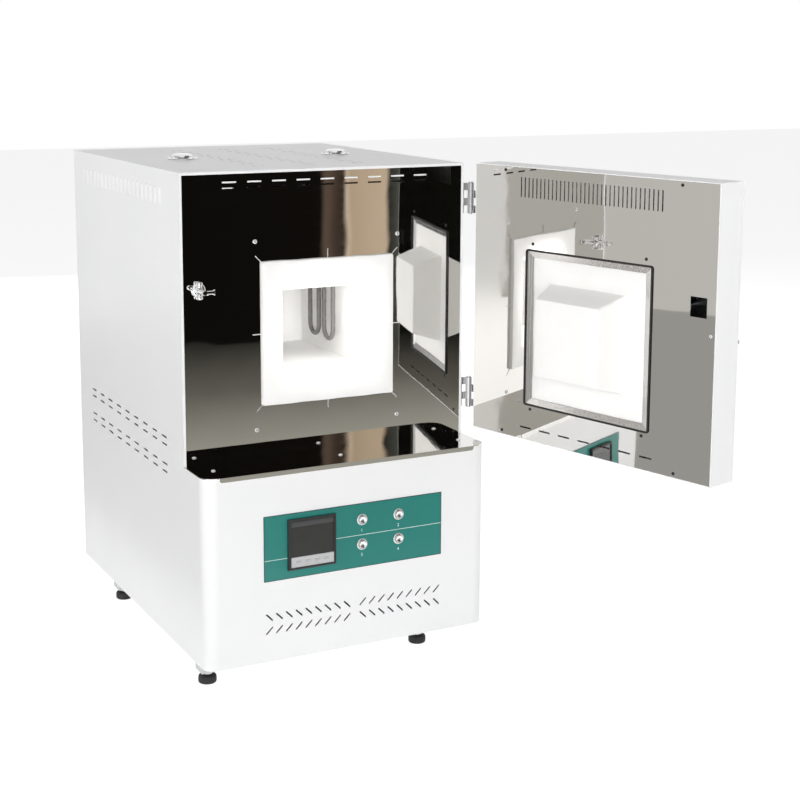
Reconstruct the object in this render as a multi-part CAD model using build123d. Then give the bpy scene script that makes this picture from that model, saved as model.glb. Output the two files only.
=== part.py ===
from build123d import *
import os

# Laboratory muffle furnace with a side-hung door, drawn with the door open.
# Millimetres. X runs to the right, Y to the back and Z up. The origin is on the
# floor, under the middle of the cabinet. Depths are measured back from the plane
# of the front plate, and heights up from the underside of the cabinet.

# Cabinet
CABINET_WIDTH = 580
CABINET_DEPTH = 662
CABINET_HEIGHT = 896
FLOOR_GAP = 35
SHEET = 1.5
THIN_SHEET = 1.2
FRONT_LIP = 5
PLATE_FLANGE = 17
REAR_FLANGE = 14
SEAM = 0.3

# Control housing and its mirror shelf
CONTROL_DEPTH = 102
CONTROL_HEIGHT = 360
CORNER_RADIUS = 26
SHELF_LIP_DROP = 7
SHELF_LIP_WIDTH = 520
SHELF_LIP_RADIUS = 5
TRAY_HEIGHT = 18

# Ventilation slots
SLOT_WIDTH = 3.5
SIDE_SLOT_LENGTH = 28
SIDE_SLOT_COLUMNS = 9
SIDE_SLOT_PITCH = 56.3
SIDE_SLOT_SHIFT = 1
SIDE_SLOT_HEIGHTS = (326.2, 341.3, 379, 393.6)
TOP_SLOT_ROWS = (-98, 5, 108)
TOP_SLOT_ROW_GAP = 15
TOP_SLOT_SHIFT = -7.5
PLATE_OVERLAP = 10
PLATE_SLOT_LENGTH = 27.4
PLATE_SLOT_WIDTH = 3
PLATE_SLOT_PITCH = 48.7
PLATE_SLOT_COLUMNS = 9
PLATE_SLOT_DROPS = (20, 30)
REAR_SLOT_ROWS = 6
REAR_SLOT_COLUMNS = 5
REAR_SLOT_ROW_PITCH = 16
REAR_SCREW_INSET = 60
LOUVRE_COUNT = 20
LOUVRE_PITCH = 25.4
LOUVRE_LENGTH = 34
LOUVRE_WIDTH = 8
LOUVRE_RISE = 2
LOUVRE_DROP = 32
LOUVRE_SHIFT = 14
CHEVRON_LENGTH = 18.5
CHEVRON_WIDTH = 3
CHEVRON_PITCH = 19.65
CHEVRON_COUNT = 9
CHEVRON_SIDE = 95
CHEVRON_HEIGHTS = (60, 85.3)
CHEVRON_ANGLE = 45
CHEVRON_MIDDLE = 7

# Muffle
MUFFLE_HEIGHT = 593.4
CHAMBER_WIDTH = 160
CHAMBER_HEIGHT = 160
CHAMBER_DEPTH = 240
LINING_WALL = 50
FRAME_SIZE = 270
FRAME_STANDOUT = 7
FRAME_THICKNESS = 71
MOUTH_WIDTH = 190.6
MOUTH_HEIGHT = 188.4
THROAT_WIDTH = 155.4
THROAT_HEIGHT = 144
THROAT_DROP = 3.4
DECK_HEIGHT = 370
SUPPORT_HEIGHT = 13.5
SUPPORT_WIDTH = 40
SUPPORT_SPACING = 300
SHELL_WIDTH = 470
SHELL_HEIGHT = 415
SHELL_DEPTH = 447
PLATE_CLEARANCE = 0.4
SLIT_WIDTH = 2
SLIT_LENGTH = 17
SLIT_START = 2

# Heating elements and thermocouple
ELEMENT_DIAMETER = 9
ELEMENT_OFFSET = 62
ELEMENT_LEG_PITCH = 42
ELEMENT_PITCH = 66.5
ELEMENT_FIRST_DEPTH = 131.5
ELEMENT_FLOOR_CLEARANCE = 30
COLD_END_DIAMETER = 18
COLD_END_START = 17
COLD_END_RISE = 50
ELEMENT_BORE_CLEARANCE = 1
HOLDER_HEIGHT = 13
HOLDER_WIDTH = 28
CLAMP_HEIGHT = 12
CLAMP_WIDTH = 24
CLAMP_RISE = 32
FIT_CLEARANCE = 0.05
THERMOCOUPLE_DIAMETER = 8
THERMOCOUPLE_TIP = 30
THERMOCOUPLE_RISE = 46
THERMOCOUPLE_HEAD = 30
THERMOCOUPLE_HEAD_LENGTH = 26

# Door
DOOR_THICKNESS = 65
DOOR_GAP = 5
DOOR_RISE = 14.5
DOOR_OVERRUN = 1
DOOR_SHEET = 1.5
DOOR_BEND = 1.4
OPEN_ANGLE = 104.3
DOOR_BOARD_SIDE_MARGIN = 55
DOOR_BOARD_END_MARGIN = 35
BLOCK_DEPTH = 52
BLOCK_RECESS = 3
PLUG_LENGTH = 58
PLUG_CLEARANCE = 4
TRIM_THICKNESS = 1.5
TRIM_MARGIN = 0.5
GASKET_SIDE_MARGIN = 17.5
GASKET_END_MARGIN = 15
GASKET_WIDTH = 3.5
GASKET_HEIGHT = 3
DOOR_SLOT_COUNT = 35
DOOR_SLOT_PITCH = 9.9
DOOR_SLOT_LENGTH = 37
DOOR_SLOT_WIDTH = 3
DOOR_SLOT_DROP = 38.5
DASH_COUNT = 7
DASH_PITCH = 49
DASH_LENGTH = 28
DASH_RISE = 24.5

# Hinges
HINGE_OFFSET = 14
HINGE_LENGTH = 59
HINGE_KNUCKLES = 4
HINGE_KNUCKLE_GAP = 0.3
KNUCKLE_DIAMETER = 13
PIN_DIAMETER = 6
PIN_HEAD = 2
PIN_HEAD_DIAMETER = 10
LEAF_THICKNESS = 2.5
LEAF_REACH = 30
HINGE_TOP_DROP = 68
HINGE_BOTTOM_RISE = 83

# Latch, handle and striker
LATCH_HEIGHT = 683.5
LATCH_SETBACK = 37.5
LATCH_HOLE_WIDTH = 35
LATCH_HOLE_HEIGHT = 35
LATCH_BOX_WIDTH = 92
LATCH_BOX_HEIGHT = 64
LATCH_BOX_DEPTH = 50
LATCH_BOX_GAP = 2
LATCH_SCREW_EDGE = 10
LATCH_SCREW_DROP = 46.5
HANDLE_INSET = 44
HANDLE_DROP = 4
HANDLE_SHAFT = 10
ROSETTE_DIAMETER = 46
ROSETTE_THICKNESS = 6
HANDLE_LENGTH = 105
HANDLE_THICKNESS = 14
HANDLE_STANDOUT = 30
PAWL_REACH = 33
PAWL_WIDTH = 10
PAWL_THICKNESS = 5
PAWL_HUB = 14
PAWL_DEPTH = 15.5
PAWL_TURN = 35
STRIKER_SHIFT = -4
STRIKER_DIAMETER = 26
STRIKER_THICKNESS = 4
STRIKER_TAB = 23
STEM_DIAMETER = 10
STEM_LENGTH = 36
STEM_ARM = 20
KNOB_DIAMETER = 12
KNOB_HEIGHT = 6
KNOB_CLEARANCE = 1.2
HOOK_WIDTH = 14
HOOK_LENGTH = 5
HOOK_NECK = 8
GUIDE_SIZE = 11.5
GUIDE_DEPTH = 10
GUIDE_DROP = 9
GUIDE_SHIFT = -10.5

# Control panel
FACEPLATE_WIDTH = 367
FACEPLATE_HEIGHT = 123.5
FACEPLATE_MIDDLE = 6.5
FACEPLATE_CENTRE = 215.8
FACEPLATE_THICKNESS = 1.2
CONTROLLER_SIZE = 96
CONTROLLER_BODY = 91
CONTROLLER_LENGTH = 74
CONTROLLER_OFFSET = -89.2
CONTROLLER_RISE = 2.7
BEZEL_THICKNESS = 7
BEZEL_BORDER = 5
BEZEL_SET = 2
KEY_STRIP_HEIGHT = 19
KEY_COUNT = 4
KEY_WIDTH = 9
KEY_HEIGHT = 4
KEY_PITCH = 19
KEY_TRAVEL = 0.5
KEY_CLEARANCE = 0.1
BUTTON_OFFSETS = (14, 90.5)
BUTTON_RISES = (30.9, -16.8)
BUTTON_FLANGE = 22
BUTTON_FLANGE_THICKNESS = 3
BUTTON_BODY = 19
BUTTON_BODY_LENGTH = 24
BUTTON_CAP = 14.5
BUTTON_CAP_PROUD = 3
BUTTON_TRAVEL = 2
BUTTON_STEM = 6
BUTTON_STEM_LENGTH = 12
BUTTON_CLEARANCE = 0.1

# Vent caps on the roof
VENT_OFFSET = 167
VENT_SHIFT = -8
VENT_FLANGE = 60
VENT_FLANGE_THICKNESS = 2
VENT_NECK = 26
VENT_NECK_HEIGHT = 3.5
VENT_CAP = 40
VENT_CAP_HEIGHT = 7
VENT_CAP_SEAT = 2
VENT_SCREW_CIRCLE = 49

# Feet
FOOT_LEFT = -272
FOOT_RIGHT = 164
FOOT_FRONT_DEPTH = -56
FOOT_BACK_DEPTH = 441
FOOT_DIAMETER = 34
FOOT_HEIGHT = 15
FOOT_CHAMFER = 2.5
STUD_DIAMETER = 10
STUD_LENGTH = 36
LOCK_NUT_WIDTH = 17
LOCK_NUT_HEIGHT = 6
BRACKET_SIZE = 34
BRACKET_DEPTH = 12
BRACKET_SHEET = 2
THREAD_CLEARANCE = 0.08

# Screws
SCREW_DIAMETER = 4
SCREW_LENGTH = 7
SCREW_WELL = 8
SCREW_HEAD = 8
SCREW_HEAD_HEIGHT = 2.2
SCREW_CLEARANCE = 0.1
SMALL_SCREW_DIAMETER = 3
SMALL_SCREW_HEAD = 6
SMALL_SCREW_HEAD_HEIGHT = 1.6
PLATE_SCREW_SIDE_MARGIN = 11
PLATE_SCREW_LOW_MARGIN = 45.4
PLATE_SCREW_HIGH_MARGIN = 37.6
SHELF_SCREW_OFFSETS = (-252, 2, 256)
SHELF_SCREW_DEPTH = 50
DOOR_SCREW_INNER = 136
DOOR_SCREW_LOW_MARGIN = 6.5
DOOR_SCREW_HIGH_MARGIN = 10.5
DOOR_SCREW_OUTER = 210
DOOR_SCREW_EDGE = 8.5

# Cable gland in the rear panel
GLAND_DIAMETER = 24
GLAND_THREAD = 18
GLAND_BORE = 13
GLAND_LENGTH = 16
GLAND_INSIDE = 6
GLAND_COLLAR = 4
GLAND_CAP = 21
GLAND_NUT_HEIGHT = 5
GLAND_OFFSET = 190
GLAND_HEIGHT = 90

# Places that follow from the sizes above
HALF_WIDTH = CABINET_WIDTH / 2
FRONT_Y = -CABINET_DEPTH / 2
BACK_Y = CABINET_DEPTH / 2
BOTTOM_Z = FLOOR_GAP
TOP_Z = FLOOR_GAP + CABINET_HEIGHT
SHELF_Z = FLOOR_GAP + CONTROL_HEIGHT
CONTROL_Y = FRONT_Y - CONTROL_DEPTH
MUFFLE_Z = FLOOR_GAP + MUFFLE_HEIGHT
FRAME_BACK = FRONT_Y + FRAME_THICKNESS - FRAME_STANDOUT
CHAMBER_BACK = FRAME_BACK + CHAMBER_DEPTH
LINING_BACK = CHAMBER_BACK + LINING_WALL
DECK_Z = FLOOR_GAP + DECK_HEIGHT
SHELL_Z = DECK_Z + SHEET + SUPPORT_HEIGHT
SHELL_FRONT = FRONT_Y + 2 * SHEET
HINGE_X = HALF_WIDTH + HINGE_OFFSET
HINGE_Y = FRONT_Y - DOOR_GAP
DOOR_Z = SHELF_Z + DOOR_RISE
DOOR_TOP = TOP_Z + DOOR_OVERRUN
DOOR_BACK = FRONT_Y - DOOR_GAP
DOOR_FRONT = DOOR_BACK - DOOR_THICKNESS
LATCH_X = LATCH_SETBACK - HALF_WIDTH
LATCH_Z = FLOOR_GAP + LATCH_HEIGHT

nodes = {}


def keep(name, *shapes):
    """Store the solids of one piece, or of one group of equal pieces."""
    nodes[name] = [solid for shape in shapes for solid in shape.solids()]


def slab(x, y, z):
    """A box between three pairs of limits."""
    size = Box(x[1] - x[0], y[1] - y[0], z[1] - z[0])
    return Pos(sum(x) / 2, sum(y) / 2, sum(z) / 2) * size


def rod(diameter, start, length, along):
    """A cylinder that runs from its start point in the direction given."""
    face = Plane(origin=start, z_dir=along) * Circle(diameter / 2)
    return extrude(face, length)


def place(tool, points, x_dir, z_dir):
    """Copies of a tool, drawn on the XY plane, turned onto a wall."""
    return [Plane(origin=point, x_dir=x_dir, z_dir=z_dir) * tool for point in points]


def spread(count, pitch):
    """Evenly spaced places about zero."""
    return [(i - (count - 1) / 2) * pitch for i in range(count)]


def slot_tool(length, width, depth):
    """A round-ended slot along X, cut to the same depth on both sides of the wall."""
    return extrude(SlotOverall(length, width), depth, both=True)


def punch_tool(length, width, depth):
    """A square-ended slot along X, cut to the same depth on both sides of the wall."""
    return extrude(Rectangle(length, width), depth, both=True)


def screw(diameter, head, head_height, length):
    """A pan-head screw that points down, with its seat on the XY plane."""
    shank = extrude(Pos(0, 0, -length) * Circle(diameter / 2), length)
    dome = extrude(Circle(head / 2), head_height)
    dome = chamfer(dome.edges().group_by(Axis.Z)[-1], head_height * 0.45)
    return shank + dome


def outline(inset):
    """Plan of cabinet and control housing together, set in from the outer faces."""
    half = HALF_WIDTH - inset
    front = CONTROL_Y + inset
    plan = Pos(0, (front + BACK_Y - inset) / 2) * Rectangle(2 * half, BACK_Y - inset - front)
    return fillet(plan.vertices().group_by(Axis.Y)[0], CORNER_RADIUS - inset)


# Side panels: a pressed sheet whose front edge is folded in, then joggled back by
# one sheet so that the mirror plate lies flush inside the lip.
side_slot = punch_tool(SIDE_SLOT_LENGTH, SLOT_WIDTH, 2 * SHEET)
side_slot_points = [
    (HALF_WIDTH, SIDE_SLOT_SHIFT + place_y, FLOOR_GAP + height)
    for height in SIDE_SLOT_HEIGHTS
    for place_y in spread(SIDE_SLOT_COLUMNS, SIDE_SLOT_PITCH)
]
louvre_z = TOP_Z - LOUVRE_DROP
panel_top = TOP_Z - SHEET
inner_face = HALF_WIDTH - SHEET
flange_end = HALF_WIDTH - FRONT_LIP - PLATE_FLANGE

web = slab((inner_face, HALF_WIDTH), (FRONT_Y, BACK_Y), (BOTTOM_Z, panel_top))
lip = slab(
    (HALF_WIDTH - FRONT_LIP, inner_face),
    (FRONT_Y, FRONT_Y + SHEET),
    (BOTTOM_Z + SHEET, panel_top),
)
joggle = slab(
    (flange_end, inner_face),
    (FRONT_Y + SHEET, SHELL_FRONT),
    (SHELF_Z - PLATE_OVERLAP, panel_top),
)
rear_flange = slab(
    (inner_face - REAR_FLANGE, inner_face),
    (BACK_Y - 2 * SHEET, BACK_Y - SHEET),
    (BOTTOM_Z + TRAY_HEIGHT, panel_top),
)
louvre = loft([
    Rectangle(LOUVRE_WIDTH, LOUVRE_LENGTH),
    Pos(LOUVRE_WIDTH / 4, 0, LOUVRE_RISE) * Rectangle(LOUVRE_WIDTH / 3, LOUVRE_LENGTH - LOUVRE_WIDTH),
])
louvre_points = [
    (HALF_WIDTH, LOUVRE_SHIFT + place_y, louvre_z - LOUVRE_LENGTH / 2)
    for place_y in spread(LOUVRE_COUNT, LOUVRE_PITCH)
]
side = web + lip + joggle + rear_flange
side = side - place(side_slot, side_slot_points, (0, 1, 0), (1, 0, 0))
side = side + place(louvre, louvre_points, (0, 1, 0), (1, 0, 0))
keep("right_side_panel", side)
keep("left_side_panel", mirror(side, Plane.YZ))

# Roof: its front edge is folded down and joggled like the sides.
roof_slot = punch_tool(SIDE_SLOT_LENGTH, SLOT_WIDTH, 2 * SHEET)
roof_slot_points = [
    (x + row, TOP_SLOT_SHIFT + place_y, TOP_Z)
    for x in TOP_SLOT_ROWS
    for row in spread(2, TOP_SLOT_ROW_GAP)
    for place_y in spread(SIDE_SLOT_COLUMNS, SIDE_SLOT_PITCH)
]
flange_low = TOP_Z - FRONT_LIP - PLATE_FLANGE
roof = slab((-HALF_WIDTH, HALF_WIDTH), (FRONT_Y, BACK_Y), (panel_top, TOP_Z))
roof = roof + slab(
    (FRONT_LIP - HALF_WIDTH, HALF_WIDTH - FRONT_LIP),
    (FRONT_Y, FRONT_Y + SHEET),
    (TOP_Z - FRONT_LIP, panel_top),
)
roof = roof + slab((-flange_end, flange_end), (FRONT_Y + SHEET, SHELL_FRONT), (flange_low, panel_top))
roof = roof - place(roof_slot, roof_slot_points, (0, 1, 0), (0, 0, 1))
vent_places = [(side_x * VENT_OFFSET, VENT_SHIFT) for side_x in (-1, 1)]
vent_screws = [
    (x + VENT_SCREW_CIRCLE / 2 * step.X, y + VENT_SCREW_CIRCLE / 2 * step.Y)
    for x, y in vent_places
    for step in [Vector(1, 0).rotate(Axis.Z, 45 + 90 * i) for i in range(4)]
]
small_hole = SMALL_SCREW_DIAMETER + 2 * SCREW_CLEARANCE
roof = roof - [rod(VENT_NECK, (x, y, panel_top), SHEET, (0, 0, 1)) for x, y in vent_places]
roof = roof - [rod(small_hole, (x, y, panel_top), SHEET, (0, 0, 1)) for x, y in vent_screws]
keep("top_cover", roof)

# Rear panel, with the slots above the electrical parts and the gland for the supply.
rear_slots = [
    (place_x, BACK_Y, TOP_Z - 2 * LOUVRE_DROP - REAR_SLOT_ROW_PITCH * row)
    for row in range(REAR_SLOT_ROWS)
    for place_x in spread(REAR_SLOT_COLUMNS, SIDE_SLOT_PITCH)
]
gland_at = (GLAND_OFFSET, BACK_Y, FLOOR_GAP + GLAND_HEIGHT)
rear = slab((-inner_face, inner_face), (BACK_Y - SHEET, BACK_Y), (BOTTOM_Z, panel_top))
rear = rear - place(side_slot, rear_slots, (1, 0, 0), (0, 1, 0))
rear = rear - rod(GLAND_THREAD, (gland_at[0], BACK_Y - SHEET, gland_at[2]), SHEET, (0, 1, 0))
screw_hole = SCREW_DIAMETER + 2 * SCREW_CLEARANCE
rear_screw_pitch = CABINET_HEIGHT / 2 - REAR_SCREW_INSET
rear_screw_points = [
    (side_x * (inner_face - REAR_FLANGE / 2), BACK_Y, BOTTOM_Z + REAR_SCREW_INSET + row * rear_screw_pitch)
    for side_x in (-1, 1)
    for row in range(3)
]
rear_holes = [
    rod(screw_hole, (x, BACK_Y - 2 * SHEET, z), 2 * SHEET, (0, 1, 0)) for x, y, z in rear_screw_points
]
rear = rear - rear_holes
keep("rear_panel", rear)
nodes["right_side_panel"] = (side - rear_holes).solids()
nodes["left_side_panel"] = (mirror(side, Plane.YZ) - rear_holes).solids()

# Base tray, with the holes for the four levelling studs.
foot_points = [
    (x, FRONT_Y + depth)
    for x in (FOOT_LEFT, FOOT_RIGHT)
    for depth in (FOOT_FRONT_DEPTH, FOOT_BACK_DEPTH)
]
stud_hole = STUD_DIAMETER + 2 * THREAD_CLEARANCE
tray = extrude(Pos(0, 0, BOTTOM_Z) * outline(SHEET), TRAY_HEIGHT)
tray = tray - extrude(Pos(0, 0, BOTTOM_Z + SHEET) * outline(2 * SHEET), TRAY_HEIGHT)
tray = tray - slab((-HALF_WIDTH, HALF_WIDTH), (FRONT_Y, SHELL_FRONT), (BOTTOM_Z + SHEET, SHELF_Z))
tray = tray - [rod(stud_hole, (x, y, BOTTOM_Z), SHEET, (0, 0, 1)) for x, y in foot_points]
keep("base_pan", tray)

# Control cover: one sheet bent round the front, cut for the panel and its chevrons.
cover_top = SHELF_Z - SHEET
cover = extrude(Pos(0, 0, BOTTOM_Z) * (outline(0) - outline(SHEET)), cover_top - BOTTOM_Z)
cover = cover & slab((-HALF_WIDTH, HALF_WIDTH), (CONTROL_Y, FRONT_Y), (BOTTOM_Z, cover_top))
chevron = slot_tool(CHEVRON_LENGTH, CHEVRON_WIDTH, 2 * SHEET)
chevrons = []
for group in (-1, 1):
    for row, height in zip((-1, 1), CHEVRON_HEIGHTS):
        for step in spread(CHEVRON_COUNT, CHEVRON_PITCH):
            centre = CHEVRON_MIDDLE + group * CHEVRON_SIDE + step
            turned = Rot(0, 0, group * row * CHEVRON_ANGLE) * chevron
            at = Plane((centre, CONTROL_Y, FLOOR_GAP + height), x_dir=(1, 0, 0), z_dir=(0, -1, 0))
            chevrons.append(at * turned)
faceplate_z = FLOOR_GAP + FACEPLATE_CENTRE
controller_x = FACEPLATE_MIDDLE + CONTROLLER_OFFSET
controller_z = faceplate_z + CONTROLLER_RISE
button_points = [
    (FACEPLATE_MIDDLE + offset, CONTROL_Y, faceplate_z + rise)
    for rise in BUTTON_RISES
    for offset in BUTTON_OFFSETS
]
body_hole = CONTROLLER_BODY + 2 * SEAM
panel_back = CONTROL_Y + SHEET
panel_front = CONTROL_Y - FACEPLATE_THICKNESS
panel_holes = [
    slab(
        (controller_x - body_hole / 2, controller_x + body_hole / 2),
        (panel_front, panel_back),
        (controller_z - body_hole / 2, controller_z + body_hole / 2),
    )
]
for x, y, z in button_points:
    panel_holes.append(rod(BUTTON_BODY + 2 * FIT_CLEARANCE, (x, panel_front, z), SHEET * 2, (0, 1, 0)))
cover = cover - chevrons - panel_holes
keep("control_cover", cover)
faceplate = slab(
    (FACEPLATE_MIDDLE - FACEPLATE_WIDTH / 2, FACEPLATE_MIDDLE + FACEPLATE_WIDTH / 2),
    (panel_front, CONTROL_Y),
    (faceplate_z - FACEPLATE_HEIGHT / 2, faceplate_z + FACEPLATE_HEIGHT / 2),
)
keep("faceplate", faceplate - panel_holes)

# Shelf: mirror sheet over the control housing, with a short lip down the front.
shelf = extrude(Pos(0, 0, cover_top) * outline(0), SHEET)
shelf = shelf & slab((-HALF_WIDTH, HALF_WIDTH), (CONTROL_Y, FRONT_Y), (cover_top, SHELF_Z))
lip_face = Pos(0, -(SHELF_LIP_DROP - SHEET) / 2) * Rectangle(SHELF_LIP_WIDTH, SHELF_LIP_DROP + SHEET)
lip_face = fillet(lip_face.vertices().group_by(Axis.Y)[0], SHELF_LIP_RADIUS)
shelf = shelf + extrude(
    Plane((0, CONTROL_Y, cover_top), x_dir=(1, 0, 0), z_dir=(0, -1, 0)) * lip_face, SHEET
)
shelf_screw_points = [(x, FRONT_Y - SHELF_SCREW_DEPTH, SHELF_Z) for x in SHELF_SCREW_OFFSETS]
shelf = shelf - [rod(screw_hole, (x, y, cover_top), SHEET, (0, 0, 1)) for x, y, z in shelf_screw_points]
keep("control_shelf", shelf)

# Front plate: mirror sheet round the mouth, with relief slits that start at the
# frame, two rows of slots above it and four screws into what is behind.
frame_half = FRAME_SIZE / 2 + PLATE_CLEARANCE
plate_low = SHELF_Z - PLATE_OVERLAP
plate_top = TOP_Z - FRONT_LIP
plate = slab(
    (FRONT_LIP - HALF_WIDTH, HALF_WIDTH - FRONT_LIP),
    (FRONT_Y, FRONT_Y + SHEET),
    (plate_low, plate_top),
)
plate = plate - slab(
    (-frame_half, frame_half), (FRONT_Y, FRONT_Y + SHEET), (MUFFLE_Z - frame_half, MUFFLE_Z + frame_half)
)
slit_face = Pos((SLIT_LENGTH - SLIT_START) / 2, 0) * Rectangle(SLIT_LENGTH + SLIT_START, SLIT_WIDTH)
slit = extrude(slit_face, SHEET, both=True)
slits = []
for turn in range(4):
    middle = Plane((0, FRONT_Y, MUFFLE_Z), x_dir=(1, 0, 0), z_dir=(0, -1, 0)) * Rot(0, 0, 90 * turn)
    corner_slit = Pos(frame_half - SLIT_START / 2, frame_half - SLIT_START / 2) * Rot(0, 0, 45) * slit
    slits.append(middle * Pos(frame_half, 0) * slit)
    slits.append(middle * corner_slit)
plate_slot = punch_tool(PLATE_SLOT_LENGTH, PLATE_SLOT_WIDTH, 2 * SHEET)
plate_slot_points = [
    (x, FRONT_Y, TOP_Z - drop)
    for drop in PLATE_SLOT_DROPS
    for x in spread(PLATE_SLOT_COLUMNS, PLATE_SLOT_PITCH)
]
plate_screw_points = [
    (side_x * (FRAME_SIZE / 2 + PLATE_SCREW_SIDE_MARGIN), FRONT_Y, MUFFLE_Z + rise)
    for side_x in (-1, 1)
    for rise in (-FRAME_SIZE / 2 - PLATE_SCREW_LOW_MARGIN, FRAME_SIZE / 2 + PLATE_SCREW_HIGH_MARGIN)
]
plate = plate - slits - place(plate_slot, plate_slot_points, (1, 0, 0), (0, -1, 0))
plate = plate - [rod(screw_hole, (x, FRONT_Y, z), SHEET, (0, 1, 0)) for x, y, z in plate_screw_points]
keep("front_plate", plate)
plate_back = FRONT_Y + SHEET

# Muffle: mouth frame with its funnel, then the lining that closes the chamber.
frame = slab(
    (-FRAME_SIZE / 2, FRAME_SIZE / 2),
    (FRONT_Y - FRAME_STANDOUT, FRAME_BACK),
    (MUFFLE_Z - FRAME_SIZE / 2, MUFFLE_Z + FRAME_SIZE / 2),
)
funnel = loft([
    Plane((0, FRONT_Y - FRAME_STANDOUT, MUFFLE_Z), x_dir=(1, 0, 0), z_dir=(0, -1, 0))
    * Rectangle(MOUTH_WIDTH, MOUTH_HEIGHT),
    Plane((0, FRAME_BACK, MUFFLE_Z - THROAT_DROP), x_dir=(1, 0, 0), z_dir=(0, -1, 0))
    * Rectangle(THROAT_WIDTH, THROAT_HEIGHT),
])
keep("mouth_frame", frame - funnel)

lining_half = CHAMBER_WIDTH / 2 + LINING_WALL
chamber_low = MUFFLE_Z - CHAMBER_HEIGHT / 2
chamber_top = MUFFLE_Z + CHAMBER_HEIGHT / 2
lining = slab(
    (-lining_half, lining_half),
    (FRAME_BACK, LINING_BACK),
    (chamber_low - LINING_WALL, chamber_top + LINING_WALL),
)
chamber = slab(
    (-CHAMBER_WIDTH / 2, CHAMBER_WIDTH / 2), (FRAME_BACK, CHAMBER_BACK), (chamber_low, chamber_top)
)
shell_top = SHELL_Z + SHELL_HEIGHT
element_top = shell_top + COLD_END_RISE
cold_end_low = chamber_top + COLD_END_START
leg_bottom = chamber_low + ELEMENT_FLOOR_CLEARANCE
element_places = [
    (side_x * ELEMENT_OFFSET, FRONT_Y + ELEMENT_FIRST_DEPTH + row * ELEMENT_PITCH)
    for side_x in (-1, 1)
    for row in range(2)
]
leg_places = [
    (x, y + side_y * ELEMENT_LEG_PITCH / 2) for x, y in element_places for side_y in (-1, 1)
]
element_bore = COLD_END_DIAMETER + 2 * ELEMENT_BORE_CLEARANCE
bores = [rod(element_bore, (x, y, chamber_top - SEAM), shell_top, (0, 0, 1)) for x, y in leg_places]
probe_z = MUFFLE_Z + THERMOCOUPLE_RISE
probe_front = CHAMBER_BACK - THERMOCOUPLE_TIP
probe_bore = rod(THERMOCOUPLE_DIAMETER + 2 * SEAM, (0, probe_front, probe_z), CABINET_DEPTH, (0, 1, 0))
keep("muffle_lining", lining - chamber - bores - probe_bore)

# Steel shell round the insulation, carried by two hat channels on the deck.
shell_half = SHELL_WIDTH / 2
shell_back = SHELL_FRONT + SHELL_DEPTH
shell = slab((-shell_half, shell_half), (SHELL_FRONT, shell_back), (SHELL_Z, shell_top))
filling = slab(
    (THIN_SHEET - shell_half, shell_half - THIN_SHEET),
    (SHELL_FRONT, shell_back - THIN_SHEET),
    (SHELL_Z + THIN_SHEET, shell_top - THIN_SHEET),
)
keep("inner_shell", shell - filling - bores - probe_bore)
keep("insulation", filling - frame - lining - bores - probe_bore)
deck = slab((-inner_face, inner_face), (SHELL_FRONT, BACK_Y - 2 * SHEET), (DECK_Z, DECK_Z + SHEET))
keep("deck", deck)
channel = Rectangle(SUPPORT_WIDTH, SUPPORT_HEIGHT)
channel = channel - Pos(0, -SHEET / 2) * Rectangle(SUPPORT_WIDTH - 2 * SHEET, SUPPORT_HEIGHT - SHEET)
flange_strip = Pos(0, (SHEET - SUPPORT_HEIGHT) / 2) * Rectangle(SUPPORT_WIDTH * 1.6, SHEET)
gap = Rectangle(SUPPORT_WIDTH - 2 * SHEET, SUPPORT_HEIGHT - 2 * SHEET)
channel = channel + (flange_strip - Pos(0, -SHEET) * gap)
supports = []
for x in (-SUPPORT_SPACING / 2, SUPPORT_SPACING / 2):
    start = Plane((x, SHELL_FRONT, DECK_Z + SHEET + SUPPORT_HEIGHT / 2), x_dir=(1, 0, 0), z_dir=(0, -1, 0))
    supports.append(extrude(start * channel, -SHELL_DEPTH))
keep("shell_supports", *supports)

# Heating elements: a thin U hangs in the chamber from two thick cold ends.
elements = []
for x, y in element_places:
    near = y - ELEMENT_LEG_PITCH / 2
    bend = ELEMENT_LEG_PITCH / 2
    straight = leg_bottom + bend + ELEMENT_DIAMETER / 2
    start = Vector(x, near, cold_end_low)
    down = Vector(x, near, straight)
    across = Vector(x, y, straight - bend)
    up = Vector(x, near + ELEMENT_LEG_PITCH, straight)
    end = Vector(x, near + ELEMENT_LEG_PITCH, cold_end_low)
    path = Line(start, down) + ThreePointArc(down, across, up) + Line(up, end)
    wire = sweep(Plane(origin=start, z_dir=(0, 0, -1)) * Circle(ELEMENT_DIAMETER / 2), path=path)
    for leg_y in (near, near + ELEMENT_LEG_PITCH):
        wire = wire + rod(COLD_END_DIAMETER, (x, leg_y, cold_end_low), element_top - cold_end_low, (0, 0, 1))
    elements.append(wire)
keep("heating_elements", *elements)

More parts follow.
